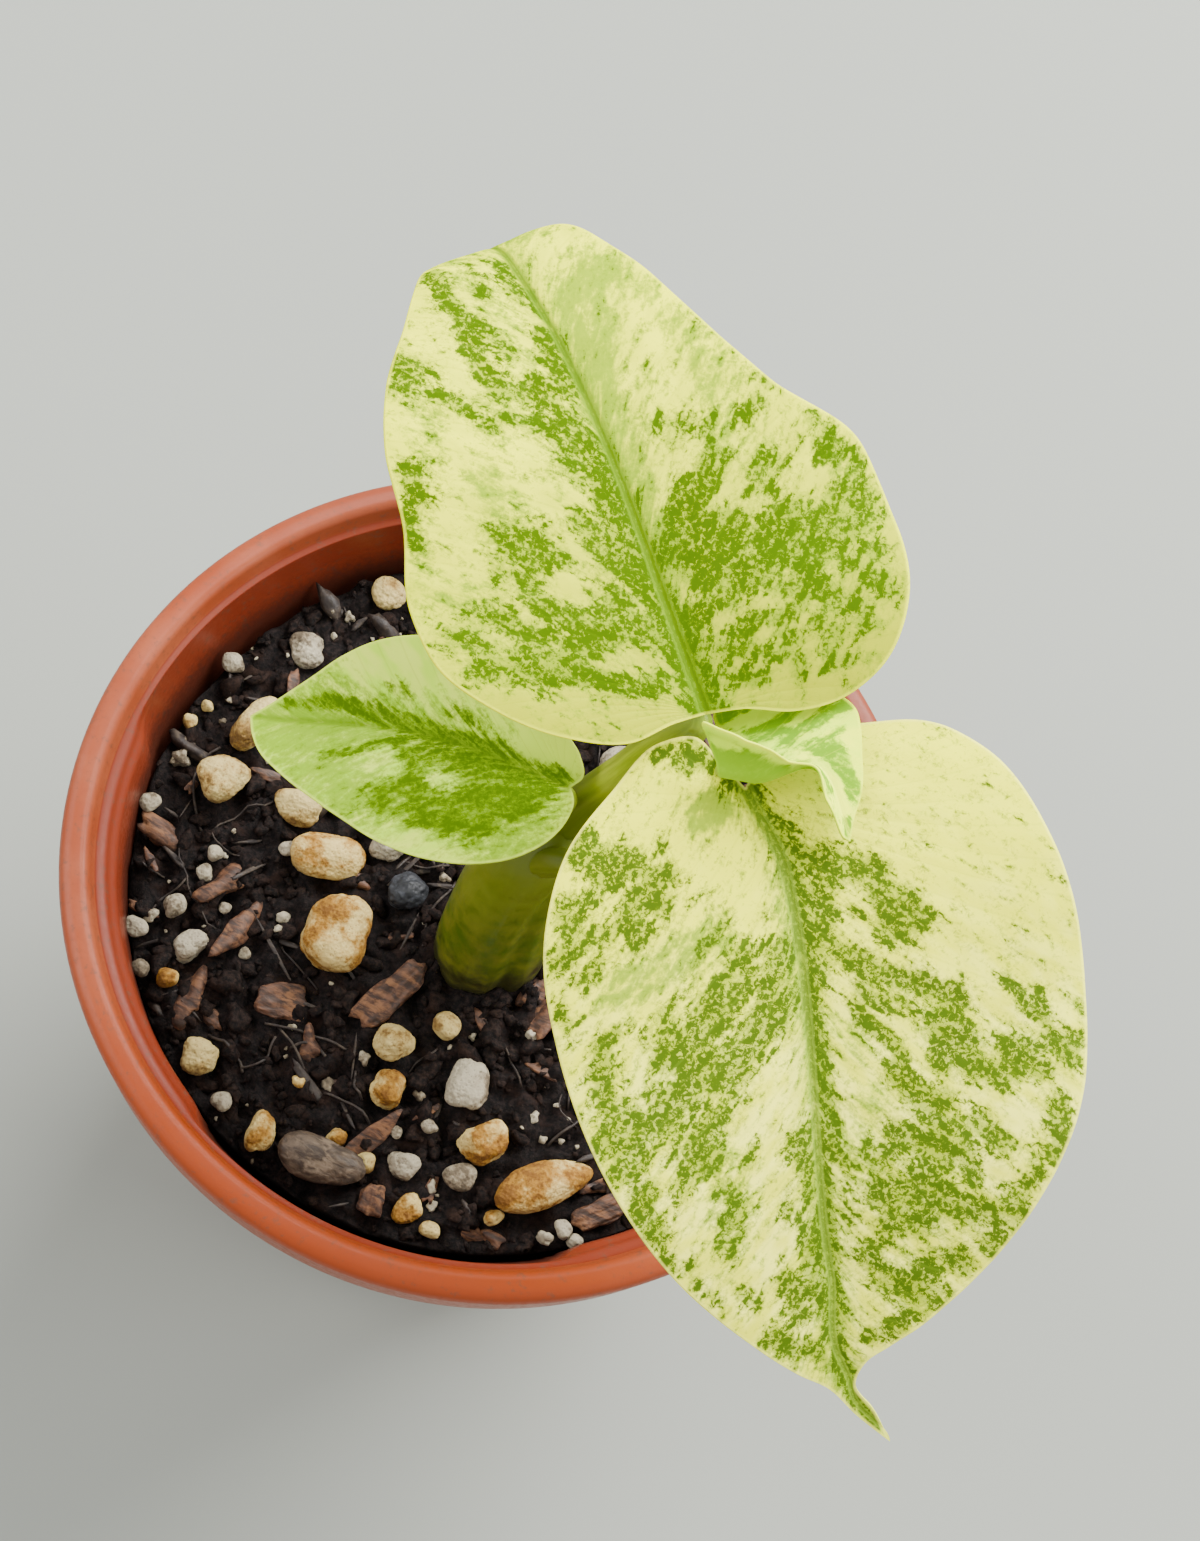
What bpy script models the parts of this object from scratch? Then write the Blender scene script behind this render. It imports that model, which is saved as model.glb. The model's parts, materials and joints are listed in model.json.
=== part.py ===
"""A potted green snow monstera: a young aroid with three open leaves and one unrolling, in a nursery pot.

Sizes are in millimetres and become metres as each mesh is made. The origin is the middle of the pot's
underside, +Z is up, and the plant's nearest leaf hangs over the rim towards +X and -Y.
"""

import math

import bmesh
import bpy
import numpy as np

MM = 0.001
GAP = 0.3
SOCKET_GAP = 0.35

POT_HEIGHT = 80.0
RIM_RADIUS = 45.0
RIM_WIDTH = 3.0
FOOT_RADIUS = 31.5
FLOOR = 1.8
WALL = 1.3
WALL_TOP_RADIUS = 39.7
POT_SIDES = 48
DRAIN_HOLES = 8
DRAIN_HOLE_RADIUS = 2.6
DRAIN_RING_RADIUS = 20.5

SOIL_LEVEL = 69.0
SOIL_SLOPE = 0.04
SOIL_RINGS = 12

STEM_FOOT = (2.4, -6.4)
BLADE_THICKNESS = 0.7

# Heights of the plant are measured from the plane of the rim
RIM_PLANE = POT_HEIGHT
STEM_BOTTOM = -25.0


def ease(knots, x):
    """Value at x of a smooth curve through (place, value) knots, level beyond both ends."""
    places = np.array([knot[0] for knot in knots], float)
    values = np.array([knot[1] for knot in knots], float)
    x = np.asarray(x, float)
    if len(places) == 1:
        return np.full_like(x, values[0])
    i = np.clip(np.searchsorted(places, x) - 1, 0, len(places) - 2)
    t = np.clip((x - places[i]) / (places[i + 1] - places[i]), 0, 1)
    return values[i] + (values[i + 1] - values[i]) * t * t * (3 - 2 * t)


def smooth_line(points, steps):
    """Points on a smooth curve through the given ones, with `steps` of them to each stretch."""
    p = np.array(points, float)
    t = np.concatenate([[0], np.cumsum(np.linalg.norm(np.diff(p, axis=0), axis=1))])
    slope = np.gradient(p, t, axis=0)
    line = []
    for i in range(len(p) - 1):
        span = t[i + 1] - t[i]
        for k in range(steps):
            h = k / steps
            line.append(
                (1 + 2 * h) * (1 - h) ** 2 * p[i]
                + h * (1 - h) ** 2 * span * slope[i]
                + h * h * (3 - 2 * h) * p[i + 1]
                + h * h * (h - 1) * span * slope[i + 1]
            )
    return np.array(line + [p[-1]])


def plain_material(name, colour, roughness):
    material = bpy.data.materials.new(name)
    material.use_nodes = True
    material.diffuse_color = (*colour, 1)
    shader = material.node_tree.nodes["Principled BSDF"]
    shader.inputs["Base Color"].default_value = (*colour, 1)
    shader.inputs["Roughness"].default_value = roughness
    shader.inputs["Metallic"].default_value = 0
    return material


def add_solid(name, points, faces, material, hidden=False):
    """An object from points in millimetres, with doubled points joined and its faces turned outwards."""
    mesh = bpy.data.meshes.new(name)
    mesh.from_pydata([tuple(MM * float(c) for c in p) for p in points], [], faces)
    bm = bmesh.new()
    bm.from_mesh(mesh)
    bmesh.ops.remove_doubles(bm, verts=bm.verts, dist=0.001 * MM)
    bmesh.ops.recalc_face_normals(bm, faces=bm.faces)
    bm.to_mesh(mesh)
    bm.free()
    mesh.shade_smooth()
    mesh.set_sharp_from_angle(angle=math.radians(40))
    solid = bpy.data.objects.new(name, mesh)
    bpy.context.scene.collection.objects.link(solid)
    if material:
        mesh.materials.append(material)
    if hidden:
        solid.hide_render = True
        solid.display_type = "WIRE"
    return solid


def rings_to_faces(rings, sides, first=0):
    """Triangles of a closed body made of `rings` rings of `sides` points, with a point before and one after."""
    faces = []
    last = first + 1 + rings * sides
    for k in range(sides):
        faces.append((first, first + 1 + (k + 1) % sides, first + 1 + k))
        faces.append((last, last - sides + k, last - sides + (k + 1) % sides))
    for ring in range(rings - 1):
        for k in range(sides):
            a = first + 1 + ring * sides + k
            b = first + 1 + ring * sides + (k + 1) % sides
            faces.append((a, b, b + sides))
            faces.append((a, b + sides, a + sides))
    return faces


def turned(name, profile, sides, material):
    """A solid turned about Z from (radius, height) points that start and end on the axis."""
    points = [(0, 0, profile[0][1])]
    for radius, height in profile[1:-1]:
        for k in range(sides):
            angle = 2 * math.pi * k / sides
            points.append((radius * math.cos(angle), radius * math.sin(angle), height))
    points.append((0, 0, profile[-1][1]))
    return add_solid(name, points, rings_to_faces(len(profile) - 2, sides), material)


def sections_along(path, radii, sides):
    """Rings of points round a path, each square to it, kept from twisting."""
    path = np.array(path, float)
    tangents = np.gradient(path, axis=0)
    tangents /= np.linalg.norm(tangents, axis=1)[:, None]
    side = np.cross(tangents[0], (0.3, 0.9, 0.1))
    rings = []
    for place, tangent, radius in zip(path, tangents, radii):
        side = side - tangent * (side @ tangent)
        side = side / np.linalg.norm(side)
        other = np.cross(tangent, side)
        for k in range(sides):
            angle = 2 * math.pi * k / sides
            rings.append(place + radius * (math.cos(angle) * side + math.sin(angle) * other))
    return [path[0], *rings, path[-1]]


def tube(name, path, radii, sides, material, hidden=False, extend=0.0):
    """A round rod along a path, with its ends moved out by `extend`."""
    path = np.array(path, float)
    for end, inner in ((0, 1), (-1, -2)):
        outward = path[end] - path[inner]
        path[end] += extend * outward / np.linalg.norm(outward)
    points = sections_along(path, radii, sides)
    return add_solid(name, points, rings_to_faces(len(path), sides), material, hidden)


def cut(solid, cutters, name):
    """Takes a group of cutters from a solid, which stay as hidden guides."""
    group = bpy.data.collections.new(name)
    bpy.context.scene.collection.children.link(group)
    for cutter in cutters:
        for owner in list(cutter.users_collection):
            owner.objects.unlink(cutter)
        group.objects.link(cutter)
    modifier = solid.modifiers.new(name, "BOOLEAN")
    modifier.operation = "DIFFERENCE"
    modifier.operand_type = "COLLECTION"
    modifier.collection = group
    modifier.solver = "EXACT"


def fuse(solid, others, name):
    """Joins others to a solid for good and removes them."""
    group = bpy.data.collections.new(name)
    bpy.context.scene.collection.children.link(group)
    for other in others:
        for owner in list(other.users_collection):
            owner.objects.unlink(other)
        group.objects.link(other)
    modifier = solid.modifiers.new(name, "BOOLEAN")
    modifier.operation = "UNION"
    modifier.operand_type = "COLLECTION"
    modifier.collection = group
    modifier.solver = "EXACT"
    bpy.context.view_layer.update()
    graph = bpy.context.evaluated_depsgraph_get()
    joined = bpy.data.meshes.new_from_object(solid.evaluated_get(graph))
    solid.modifiers.clear()
    solid.data = joined
    for other in others:
        bpy.data.objects.remove(other, do_unlink=True)
    bpy.data.collections.remove(group)


# Pot

def wall_radius(height):
    """Inner radius of the tapered wall at a height below the ledge."""
    foot = FOOT_RADIUS - WALL
    return foot + (WALL_TOP_RADIUS - foot) * (height - FLOOR) / (POT_HEIGHT - 6 - FLOOR)


def make_pot():
    """Thin tapered wall, a flat rim with a hollow lip under it, a stacking ledge inside and a ribbed foot."""
    top = POT_HEIGHT
    inner_rim = RIM_RADIUS - RIM_WIDTH
    profile = [
        (0, 0), (13, 0), (14, 0.8), (25.5, 0.8), (26.5, 0), (FOOT_RADIUS - 0.8, 0), (FOOT_RADIUS, 0.9),
        (WALL_TOP_RADIUS + 1.2, top - 9.5), (41.6, top - 4), (42.0, top - 1.7), (43.7, top - 1.7),
        (43.4, top - 8.6), (44.4, top - 8.6), (RIM_RADIUS, top - 1.2), (44.7, top - 0.4), (43.9, top),
        (42.6, top), (inner_rim, top - 0.5), (41.5, top - 2.2), (41.1, top - 2.5), (40.4, top - 2.9),
        (40.0, top - 3.9), (WALL_TOP_RADIUS, top - 6), (wall_radius(FLOOR + 1.2), FLOOR + 1.2),
        (wall_radius(FLOOR) - 1.2, FLOOR), (0, FLOOR),
    ]
    pot = turned("pot", profile, POT_SIDES, plain_material("terracotta plastic", (0.52, 0.12, 0.045), 0.42))
    drills = []
    for k in range(DRAIN_HOLES):
        angle = 2 * math.pi * (k + 0.5) / DRAIN_HOLES
        middle = (DRAIN_RING_RADIUS * math.cos(angle), DRAIN_RING_RADIUS * math.sin(angle))
        path = [(*middle, -1), (*middle, FLOOR + 1)]
        drills.append(tube(f"drain_cutter_{k}", path, [DRAIN_HOLE_RADIUS] * 2, 12, None, hidden=True))
    cut(pot, drills, "drain cutters")


# Potting mix

def soil_height(x, y):
    """Height of the mix, which heaps a little round the stem and lies in small lumps."""
    away = math.hypot(x - STEM_FOOT[0], y - STEM_FOOT[1])
    heap = 1.2 * math.exp(-((away / 11) ** 2))
    lumps = 0.5 * math.sin(0.9 * x + 1.3) * math.sin(0.8 * y + 0.4)
    lumps += 0.35 * math.sin(1.7 * x + 0.7 * y) + 0.25 * math.sin(1.9 * y - 1.1 * x + 2)
    return SOIL_LEVEL + SOIL_SLOPE * y + heap + lumps


def make_soil(material):
    bottom = FLOOR + GAP
    points = [(0, 0, soil_height(0, 0))]
    edge = wall_radius(SOIL_LEVEL - 4) - GAP - 0.1
    for ring in range(1, SOIL_RINGS + 1):
        radius = edge * ring / SOIL_RINGS
        for k in range(POT_SIDES):
            angle = 2 * math.pi * k / POT_SIDES
            x, y = radius * math.cos(angle), radius * math.sin(angle)
            points.append((x, y, soil_height(x, y)))
    for height in (SOIL_LEVEL - 4, bottom + 1.6, bottom):
        radius = wall_radius(height) - GAP - (1.6 if height == bottom else 0.1)
        for k in range(POT_SIDES):
            angle = 2 * math.pi * k / POT_SIDES
            points.append((radius * math.cos(angle), radius * math.sin(angle), height))
    points.append((0, 0, bottom))
    return add_solid("soil", points, rings_to_faces(SOIL_RINGS + 3, POT_SIDES), material)


# Stones and bark

# name, x, y, length, width, height, turn in degrees, stain
STONES = (
    ("pumice_01", -31.2, -1.8, 6.0, 5.0, 4.6, 60, "tan"),
    ("pumice_02", -31.0, 5.2, 6.4, 4.4, 4.2, 75, "tan"),
    ("pumice_03", -17.6, -4.6, 7.4, 6.2, 5.4, 20, "orange"),
    ("pumice_04", -13.2, -12.0, 8.2, 7.8, 6.8, 10, "orange"),
    ("pumice_05", -22.8, -0.8, 6.0, 4.0, 3.8, 10, "tan"),
    ("pumice_06", -12.3, -0.2, 4.8, 4.0, 3.8, 80, "white"),
    ("pumice_07", -2.3, -19.6, 4.8, 4.2, 4.0, 30, "tan"),
    ("pumice_08", -0.9, -24.2, 4.2, 3.9, 3.6, 0, "orange"),
    ("pumice_09", 6.4, -20.2, 5.8, 4.4, 4.2, 100, "white"),
    ("pumice_10", 10.6, -25.0, 5.2, 4.8, 4.4, 50, "orange"),
    ("pumice_11", 17.8, -26.6, 11.4, 5.0, 5.0, 44, "orange"),
    ("pumice_12", 3.9, -30.6, 3.5, 3.3, 3.3, 0, "white"),
    ("pumice_13", 6.2, -34.6, 3.8, 3.1, 3.2, 70, "orange"),
    ("pumice_14", -10.6, -33.8, 4.6, 3.1, 3.6, 100, "orange"),
    ("pumice_15", -30.0, 16.0, 4.5, 3.9, 3.6, 30, "white"),
    ("pumice_16", -25.0, 26.0, 4.5, 4.1, 3.6, 0, "tan"),
    ("pumice_17", -19.6, -29.6, 4.2, 3.7, 3.6, 15, "tan"),
    ("pumice_18", -26.1, -19.4, 3.9, 3.5, 3.4, 60, "white"),
    ("pumice_19", 8.0, 20.0, 7.0, 5.6, 5.0, 35, "white"),
    ("pumice_20", 24.5, 12.0, 6.2, 5.0, 4.6, 120, "orange"),
    ("pumice_21", 28.0, -8.0, 5.6, 4.6, 4.4, 70, "tan"),
    ("pumice_22", -8.0, 31.0, 5.6, 4.2, 4.0, 160, "orange"),
    ("charcoal", -8.2, -4.6, 5.0, 4.2, 3.8, 45, "black"),
    ("bark_lump", -3.8, -34.0, 9.0, 5.4, 4.6, 8, "brown"),
)
STONE_COLOURS = {
    "tan": (0.62, 0.47, 0.24), "orange": (0.70, 0.42, 0.12), "white": (0.75, 0.72, 0.62),
    "black": (0.02, 0.022, 0.026), "brown": (0.25, 0.17, 0.10),
}
STONE_RISE = 0.12

# name, x, y, length, width, thickness, turn in degrees, tilt in degrees
CHIPS = (
    ("bark_01", -5.0, -15.2, 9.6, 3.6, 1.5, 66, 12),
    ("bark_02", -14.8, -20.6, 5.6, 4.2, 1.5, 20, -10),
    ("bark_03", 2.6, -35.2, 3.4, 2.8, 1.4, 100, 10),
    ("bark_04", 24.4, -26.4, 6.4, 2.8, 1.4, 48, 8),
    ("bark_05", 16.0, 27.0, 10.5, 4.4, 1.6, 150, 8),
)


def lump_points(solid_points, phase):
    """Pulls the points of a unit ball in and out into a rounded stone."""
    x, y, z = solid_points.T
    factor = 1 + 0.10 * np.sin(2.9 * x + phase) + 0.08 * np.sin(3.7 * y + 2.1 * phase + 1)
    factor += 0.07 * np.sin(4.3 * z + 1.3 * x + 0.7 * phase)
    return solid_points * factor[:, None]


def unit_ball(detail):
    bm = bmesh.new()
    bmesh.ops.create_icosphere(bm, subdivisions=detail, radius=1)
    points = np.array([v.co[:] for v in bm.verts])
    faces = [tuple(v.index for v in f.verts) for f in bm.faces]
    bm.free()
    return points, faces


def make_stone(name, x, y, length, width, height, turn, stain, grown, hidden):
    """One grain, turned about Z and sunk in the mix; `grown` widens it all round for its socket."""
    points, faces = unit_ball(2)
    points = lump_points(points, x + 2 * y)
    points = points * (np.array((length, width, height)) / 2 + grown)
    c, s = math.cos(math.radians(turn)), math.sin(math.radians(turn))
    points = points @ np.array(((c, s, 0), (-s, c, 0), (0, 0, 1)))
    points = points + (x, y, soil_height(x, y) + STONE_RISE * height)
    material = None if hidden else plain_material(name, STONE_COLOURS[stain], 0.8)
    return add_solid(name, points, faces, material, hidden)


def make_chip(name, x, y, length, width, thickness, turn, tilt, grown, hidden):
    """A flat flake of bark with an uneven outline, lying tilted in the mix."""
    corners = 8
    points = []
    for level in (-1, 1):
        for k in range(corners):
            angle = 2 * math.pi * (k + 0.5) / corners
            ragged = 1 + 0.14 * math.sin(2.3 * k + x)
            points.append((
                (length / 2 * ragged + grown) * math.cos(angle),
                (width / 2 * ragged + grown) * math.sin(angle),
                level * (thickness / 2 + grown),
            ))
    points = [(0, 0, -thickness / 2 - grown), *points, (0, 0, thickness / 2 + grown)]
    points = np.array(points)
    c, s = math.cos(math.radians(tilt)), math.sin(math.radians(tilt))
    points = points @ np.array(((c, 0, s), (0, 1, 0), (-s, 0, c)))
    c, s = math.cos(math.radians(turn)), math.sin(math.radians(turn))
    points = points @ np.array(((c, s, 0), (-s, c, 0), (0, 0, 1)))
    points = points + (x, y, soil_height(x, y) + 0.2 * thickness)
    material = None if hidden else plain_material(name, (0.20, 0.075, 0.03), 0.75)
    return add_solid(name, points, rings_to_faces(2, corners), material, hidden)


# Stem, roots and stalks

# x, y, height over the rim plane, radius along the oval, radius across it
STEM_SECTIONS = (
    (2.4, -6.4, STEM_BOTTOM, 3.6, 3.2),
    (2.4, -6.4, -20, 4.6, 4.0),
    (2.4, -6.4, -13, 5.8, 5.0),
    (2.3, -6.0, -9, 6.0, 5.2),
    (1.9, -5.0, -3, 5.6, 4.9),
    (1.8, -3.6, 4, 5.2, 4.6),
    (2.3, -2.6, 9, 4.9, 4.4),
    (2.9, -2.0, 12.5, 4.6, 4.2),
)
STEM_TURN = 26.0
STEM_SIDES = 16
GROOVE_ANGLE = -78.0

ROOT_COUNT = 8
ROOT_SIDES = 5


def stem_points(grown):
    """Rings of the sheathed stem: oval, with a groove where one sheath wraps over the next."""
    rings = []
    lowest = STEM_SECTIONS[0][2]
    turn = math.radians(STEM_TURN)
    for x, y, height, long_radius, short_radius in STEM_SECTIONS:
        for k in range(STEM_SIDES):
            angle = 2 * math.pi * k / STEM_SIDES
            off = math.remainder(angle - math.radians(GROOVE_ANGLE), 2 * math.pi)
            factor = 1 - 0.16 * math.exp(-((off / 0.3) ** 2))
            along = (long_radius * factor + grown) * math.cos(angle)
            across = (short_radius * factor + grown) * math.sin(angle)
            rings.append((
                x + along * math.cos(turn) - across * math.sin(turn),
                y + along * math.sin(turn) + across * math.cos(turn),
                height + RIM_PLANE - (grown if height == lowest else 0),
            ))
    low, high = STEM_SECTIONS[0], STEM_SECTIONS[-1]
    foot = (low[0], low[1], low[2] + RIM_PLANE - grown)
    head = (high[0], high[1], high[2] + RIM_PLANE)
    return [foot, *rings, head]


def make_stem(grown=0.0, hidden=False):
    name = "stem_cutter" if hidden else "stem"
    material = None if hidden else plain_material("stem green", (0.20, 0.22, 0.02), 0.5)
    faces = rings_to_faces(len(STEM_SECTIONS), STEM_SIDES)
    return add_solid(name, stem_points(grown), faces, material, hidden)


def root_path(k):
    """One root, which runs out and down from the crown under the stem in an uneven line."""
    heading = math.radians(137.5 * k + 20)
    reach = 17 + 8 * math.sin(2.2 * k + 1) ** 2
    drop = 20 + 14 * math.sin(1.7 * k + 0.5) ** 2
    crown = RIM_PLANE + STEM_BOTTOM - 3
    path = []
    for t in np.linspace(0, 1, 6):
        swing = heading + 0.5 * math.sin(3 * t + k)
        out = reach * t
        path.append((
            STEM_FOOT[0] * (1 - t) + out * math.cos(swing),
            STEM_FOOT[1] * (1 - t) + out * math.sin(swing),
            crown - drop * t ** 1.4,
        ))
    return path


def make_roots(grown=0.0, hidden=False):
    """The crown under the stem with its roots, fused in one."""
    name = "root_cutter" if hidden else "roots"
    top = RIM_PLANE + STEM_BOTTOM - GAP
    foot = (STEM_FOOT[0], STEM_FOOT[1])
    path = [(*foot, top + (2 if hidden else 0)), (*foot, top - 2.5), (*foot, top - 6)]
    radii = [3.2 + grown, 3.4 + grown, 1.8 + grown]
    material = None if hidden else plain_material("root", (0.55, 0.44, 0.27), 0.8)
    crown = tube(name, path, radii, 8, material, hidden, extend=grown)
    threads = []
    for k in range(ROOT_COUNT):
        widths = np.linspace(1.4, 0.7, 6) + grown
        threads.append(tube(f"root_{k}", root_path(k), widths, ROOT_SIDES, None, extend=grown))
    fuse(crown, threads, "root threads")
    return crown


# Leaves

# Each leaf is drawn flat, u across to the right and v along the midrib from the stalk, then bent:
# pitch is the midrib's slope, fold and curl how each half rises beside it, bank the tilt to one side.
UPPER = {
    "at": (10.9, 2.1, 46.3), "heading": 139, "bank": [(0, 3)],
    "pitch": [(-10, 14), (0, 16), (14, 14), (30, 6), (42, -6), (50, -78), (60, -88)],
    "fold": ([(-4, 24), (14, 11), (45, 4)], [(-4, 8), (20, 8), (45, 4)]), "curl": (-0.5, -0.5),
    "sway": [(0, 0), (30, 0.8), (55, 0)], "wave": (0.9, 26, 0.5),
    "right": [
        (0, 0), (3.3, -0.8), (6.8, -2.4), (11.1, -2.9), (15, -1.6), (19.2, 3), (21.6, 9.5), (21.8, 17),
        (16.2, 24.4), (13, 32), (10.6, 39), (7.6, 44.5), (3.6, 50), (0, 55.5),
    ],
    "left": [
        (0, 0), (-3, 0.2), (-7.4, 0), (-12, 2), (-17, 6), (-20.4, 11), (-20.6, 16.6), (-18.4, 23.5),
        (-17.4, 30), (-14.9, 35.5), (-11.2, 40.3), (-7.6, 45.3), (-3.8, 50.5), (0, 55.5),
    ],
}
LOWER = {
    "at": (16.6, -1.2, 43.5), "heading": -49, "bank": [(0, -12)],
    "pitch": [(-8, -22), (0, -10), (20, -19), (45, -30), (62, -42)],
    "fold": ([(-8, 8), (10, 7), (45, 7), (60, 14)], [(-8, 6), (10, 7), (45, 7), (60, 14)]),
    "curl": (-0.25, -0.25), "sway": [(0, 0), (7, -1.4), (45, 2.3), (60, -1.2)], "wave": (0.6, 30, 0.2),
    "right": [
        (0, 0), (1.5, -2.7), (3.0, -5.1), (6.1, -5.4), (11.2, -2.4), (16.2, 1.5), (19.8, 8), (20.8, 18),
        (19.6, 29), (15.8, 38.6), (9.8, 46.8), (4, 52.6), (1.6, 55.6), (-1.2, 59.6),
    ],
    "left": [
        (0, 0), (-2.4, -2.4), (-6, -3.4), (-11.3, -2.8), (-16.4, -1.5), (-21, 2.8), (-23.6, 10.5),
        (-24.2, 20), (-22, 30.3), (-16.4, 38.2), (-9, 45.1), (-1.6, 49.4), (0.9, 51.4), (-1.2, 59.6),
    ],
}
LEFT = {
    "at": (3.1, -1.5, 28.0), "heading": 186, "bank": [(0, 8)],
    "pitch": [(-6, 0), (0, -4), (15, -10), (30, -24), (38, -34)],
    "fold": ([(-4, 30), (8, 34), (20, 28), (36, 12)], [(-4, 22), (20, 24), (36, 12)]),
    "curl": (-0.6, -0.6), "sway": [(0, 0), (12, 0.8), (31, -1.4)], "wave": (0.4, 22, 0.0),
    "right": [
        (0, 0), (1.2, -0.8), (3, 0), (4.8, 2), (7, 5), (8.9, 8.4), (9.8, 12), (9.6, 16.5),
        (8, 20.2), (5.8, 23), (3.6, 25.2), (1.6, 27.4), (0, 29.3), (-1.4, 31.1),
    ],
    "left": [
        (0, 0), (-1.4, -0.7), (-3.6, -0.7), (-6, 0.1), (-8.6, 2), (-10.9, 5.3), (-12.1, 9.5), (-11.9, 14),
        (-10.6, 18.2), (-8.7, 22.6), (-6.8, 26), (-5, 28.6), (-3.1, 30.2), (-1.4, 31.1),
    ],
}
NEW = {
    "at": (13.95, -1.7, 45.4), "heading": -2, "bank": [(0, 0)],
    "pitch": [(0, 38), (5, 24), (8, -8), (11, -28), (14.5, -48)],
    "fold": ([(-3, 106), (4, 100), (7, 62), (9.5, 22), (15, 8)], [(0, -10), (4, -6), (9, 6), (12, 4)]),
    "curl": (-0.3, -0.3), "sway": [(0, 0), (3, -0.1), (7.8, -3.1), (14, 0.2)], "wave": (0, 22, 0),
    "right": [
        (0, 0), (3.2, 0.2), (5.4, 0.7), (5.2, 1.8), (4.4, 3.4), (2.6, 4.9), (1.2, 6.1), (-0.4, 7.2),
        (-1.4, 8.6), (-0.5, 10.3), (0.5, 12.2), (0.3, 13.9),
    ],
    "left": [
        (0, 0), (-2.5, 0.3), (-5, 1.4), (-7.4, 3.2), (-9.2, 5.2), (-9.8, 7.4), (-9.2, 9.2), (-7.8, 10.3),
        (-5.8, 11.6), (-3.2, 12.7), (-1.1, 13.4), (0.3, 13.9),
    ],
}
VEIN_LEAN = 0.7
ACROSS = (0, 0.3, 0.58, 0.82, 1)


def bend(leaf, u, v):
    """Places (millimetres, in the pot's frame) of flat leaf points."""
    steps = np.arange(-30, 90, 0.25)
    slope = np.radians(ease(leaf["pitch"], steps))
    along = np.cumsum(np.cos(slope)) * 0.25
    up = np.cumsum(np.sin(slope)) * 0.25
    along = np.interp(v, steps, along) - np.interp(0, steps, along)
    up = np.interp(v, steps, up) - np.interp(0, steps, up)
    slope = np.interp(v, steps, slope)
    sway = ease(leaf["sway"], v)
    side = np.where(u - sway >= 0, 1.0, -1.0)
    reach = abs(u - sway)
    fold_right, fold_left = (ease(knots, v) for knots in leaf["fold"])
    bank = ease(leaf["bank"], v)
    fold = np.radians(np.where(side > 0, fold_right + bank, fold_left - bank))
    curl = np.radians(np.where(side > 0, *leaf["curl"]))
    out = (np.sin(fold + curl * reach) - np.sin(fold)) / curl
    lift = (np.cos(fold) - np.cos(fold + curl * reach)) / curl
    height, length, phase = leaf["wave"]
    lift = lift + height * (reach / 20) ** 2 * np.sin(2 * np.pi * v / length + phase + 0.8 * side)
    heading = math.radians(leaf["heading"])
    forward = np.array((math.cos(heading), math.sin(heading), 0))
    right = np.array((math.sin(heading), -math.cos(heading), 0))
    upward = np.array((0, 0, 1))
    normal = np.cos(slope)[..., None] * upward - np.sin(slope)[..., None] * forward
    start = np.array(leaf["at"]) + (0, 0, RIM_PLANE)
    place = start + along[..., None] * forward + up[..., None] * upward
    return place + (sway + side * out)[..., None] * right + lift[..., None] * normal


def flat_grid(leaf, steps, across):
    """Flat (u, v) grids of the right and the left half, from the midrib out to the margin along the veins."""
    edges = [smooth_line(leaf[half], steps) for half in ("right", "left")]
    tip = edges[0][-1, 1]
    starts = [edge[:, 1] - VEIN_LEAN * abs(edge[:, 0] - ease(leaf["sway"], edge[:, 1])) for edge in edges]
    start = np.maximum.accumulate(np.clip((starts[0] + starts[1]) / 2, 0, tip))
    start[-1] = tip
    midrib = np.stack([ease(leaf["sway"], start), start], axis=1)
    midrib[-1] = edges[0][-1]
    share = np.array(across)[None, :, None]
    return [midrib[:, None] * (1 - share) + edge[:, None] * share for edge in edges]


def make_blade(name, leaf, steps, material):
    """A closed blade of even thickness, split into triangles alike on both faces."""
    grids = flat_grid(leaf, steps, ACROSS)
    rows, columns = grids[0].shape[:2]
    points = []
    faces = []
    step = 0.15
    for half, grid in enumerate(grids):
        u, v = grid[..., 0], grid[..., 1]
        middle = bend(leaf, u, v)
        across = bend(leaf, u + step, v) - bend(leaf, u - step, v)
        along = bend(leaf, u, v + step) - bend(leaf, u, v - step)
        normal = np.cross(across, along)
        normal /= np.linalg.norm(normal, axis=2)[..., None]
        for level in (0.5, -0.5):
            first = len(points)
            points.extend((middle + level * BLADE_THICKNESS * normal).reshape(-1, 3))
            for i in range(rows - 1):
                for j in range(columns - 1):
                    a = first + i * columns + j
                    quad = (a, a + 1, a + columns + 1, a + columns)
                    if (level > 0) != (half == 0):
                        faces.extend(((quad[0], quad[2], quad[1]), (quad[0], quad[3], quad[2])))
                    else:
                        faces.extend(((quad[0], quad[1], quad[2]), (quad[0], quad[2], quad[3])))
        size = rows * columns
        top = len(points) - 2 * size
        for i in range(rows - 1):
            a = top + i * columns + columns - 1
            faces.append((a, a + columns, a + columns + size))
            faces.append((a, a + columns + size, a + size))
    return add_solid(name, points, faces, material)


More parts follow.
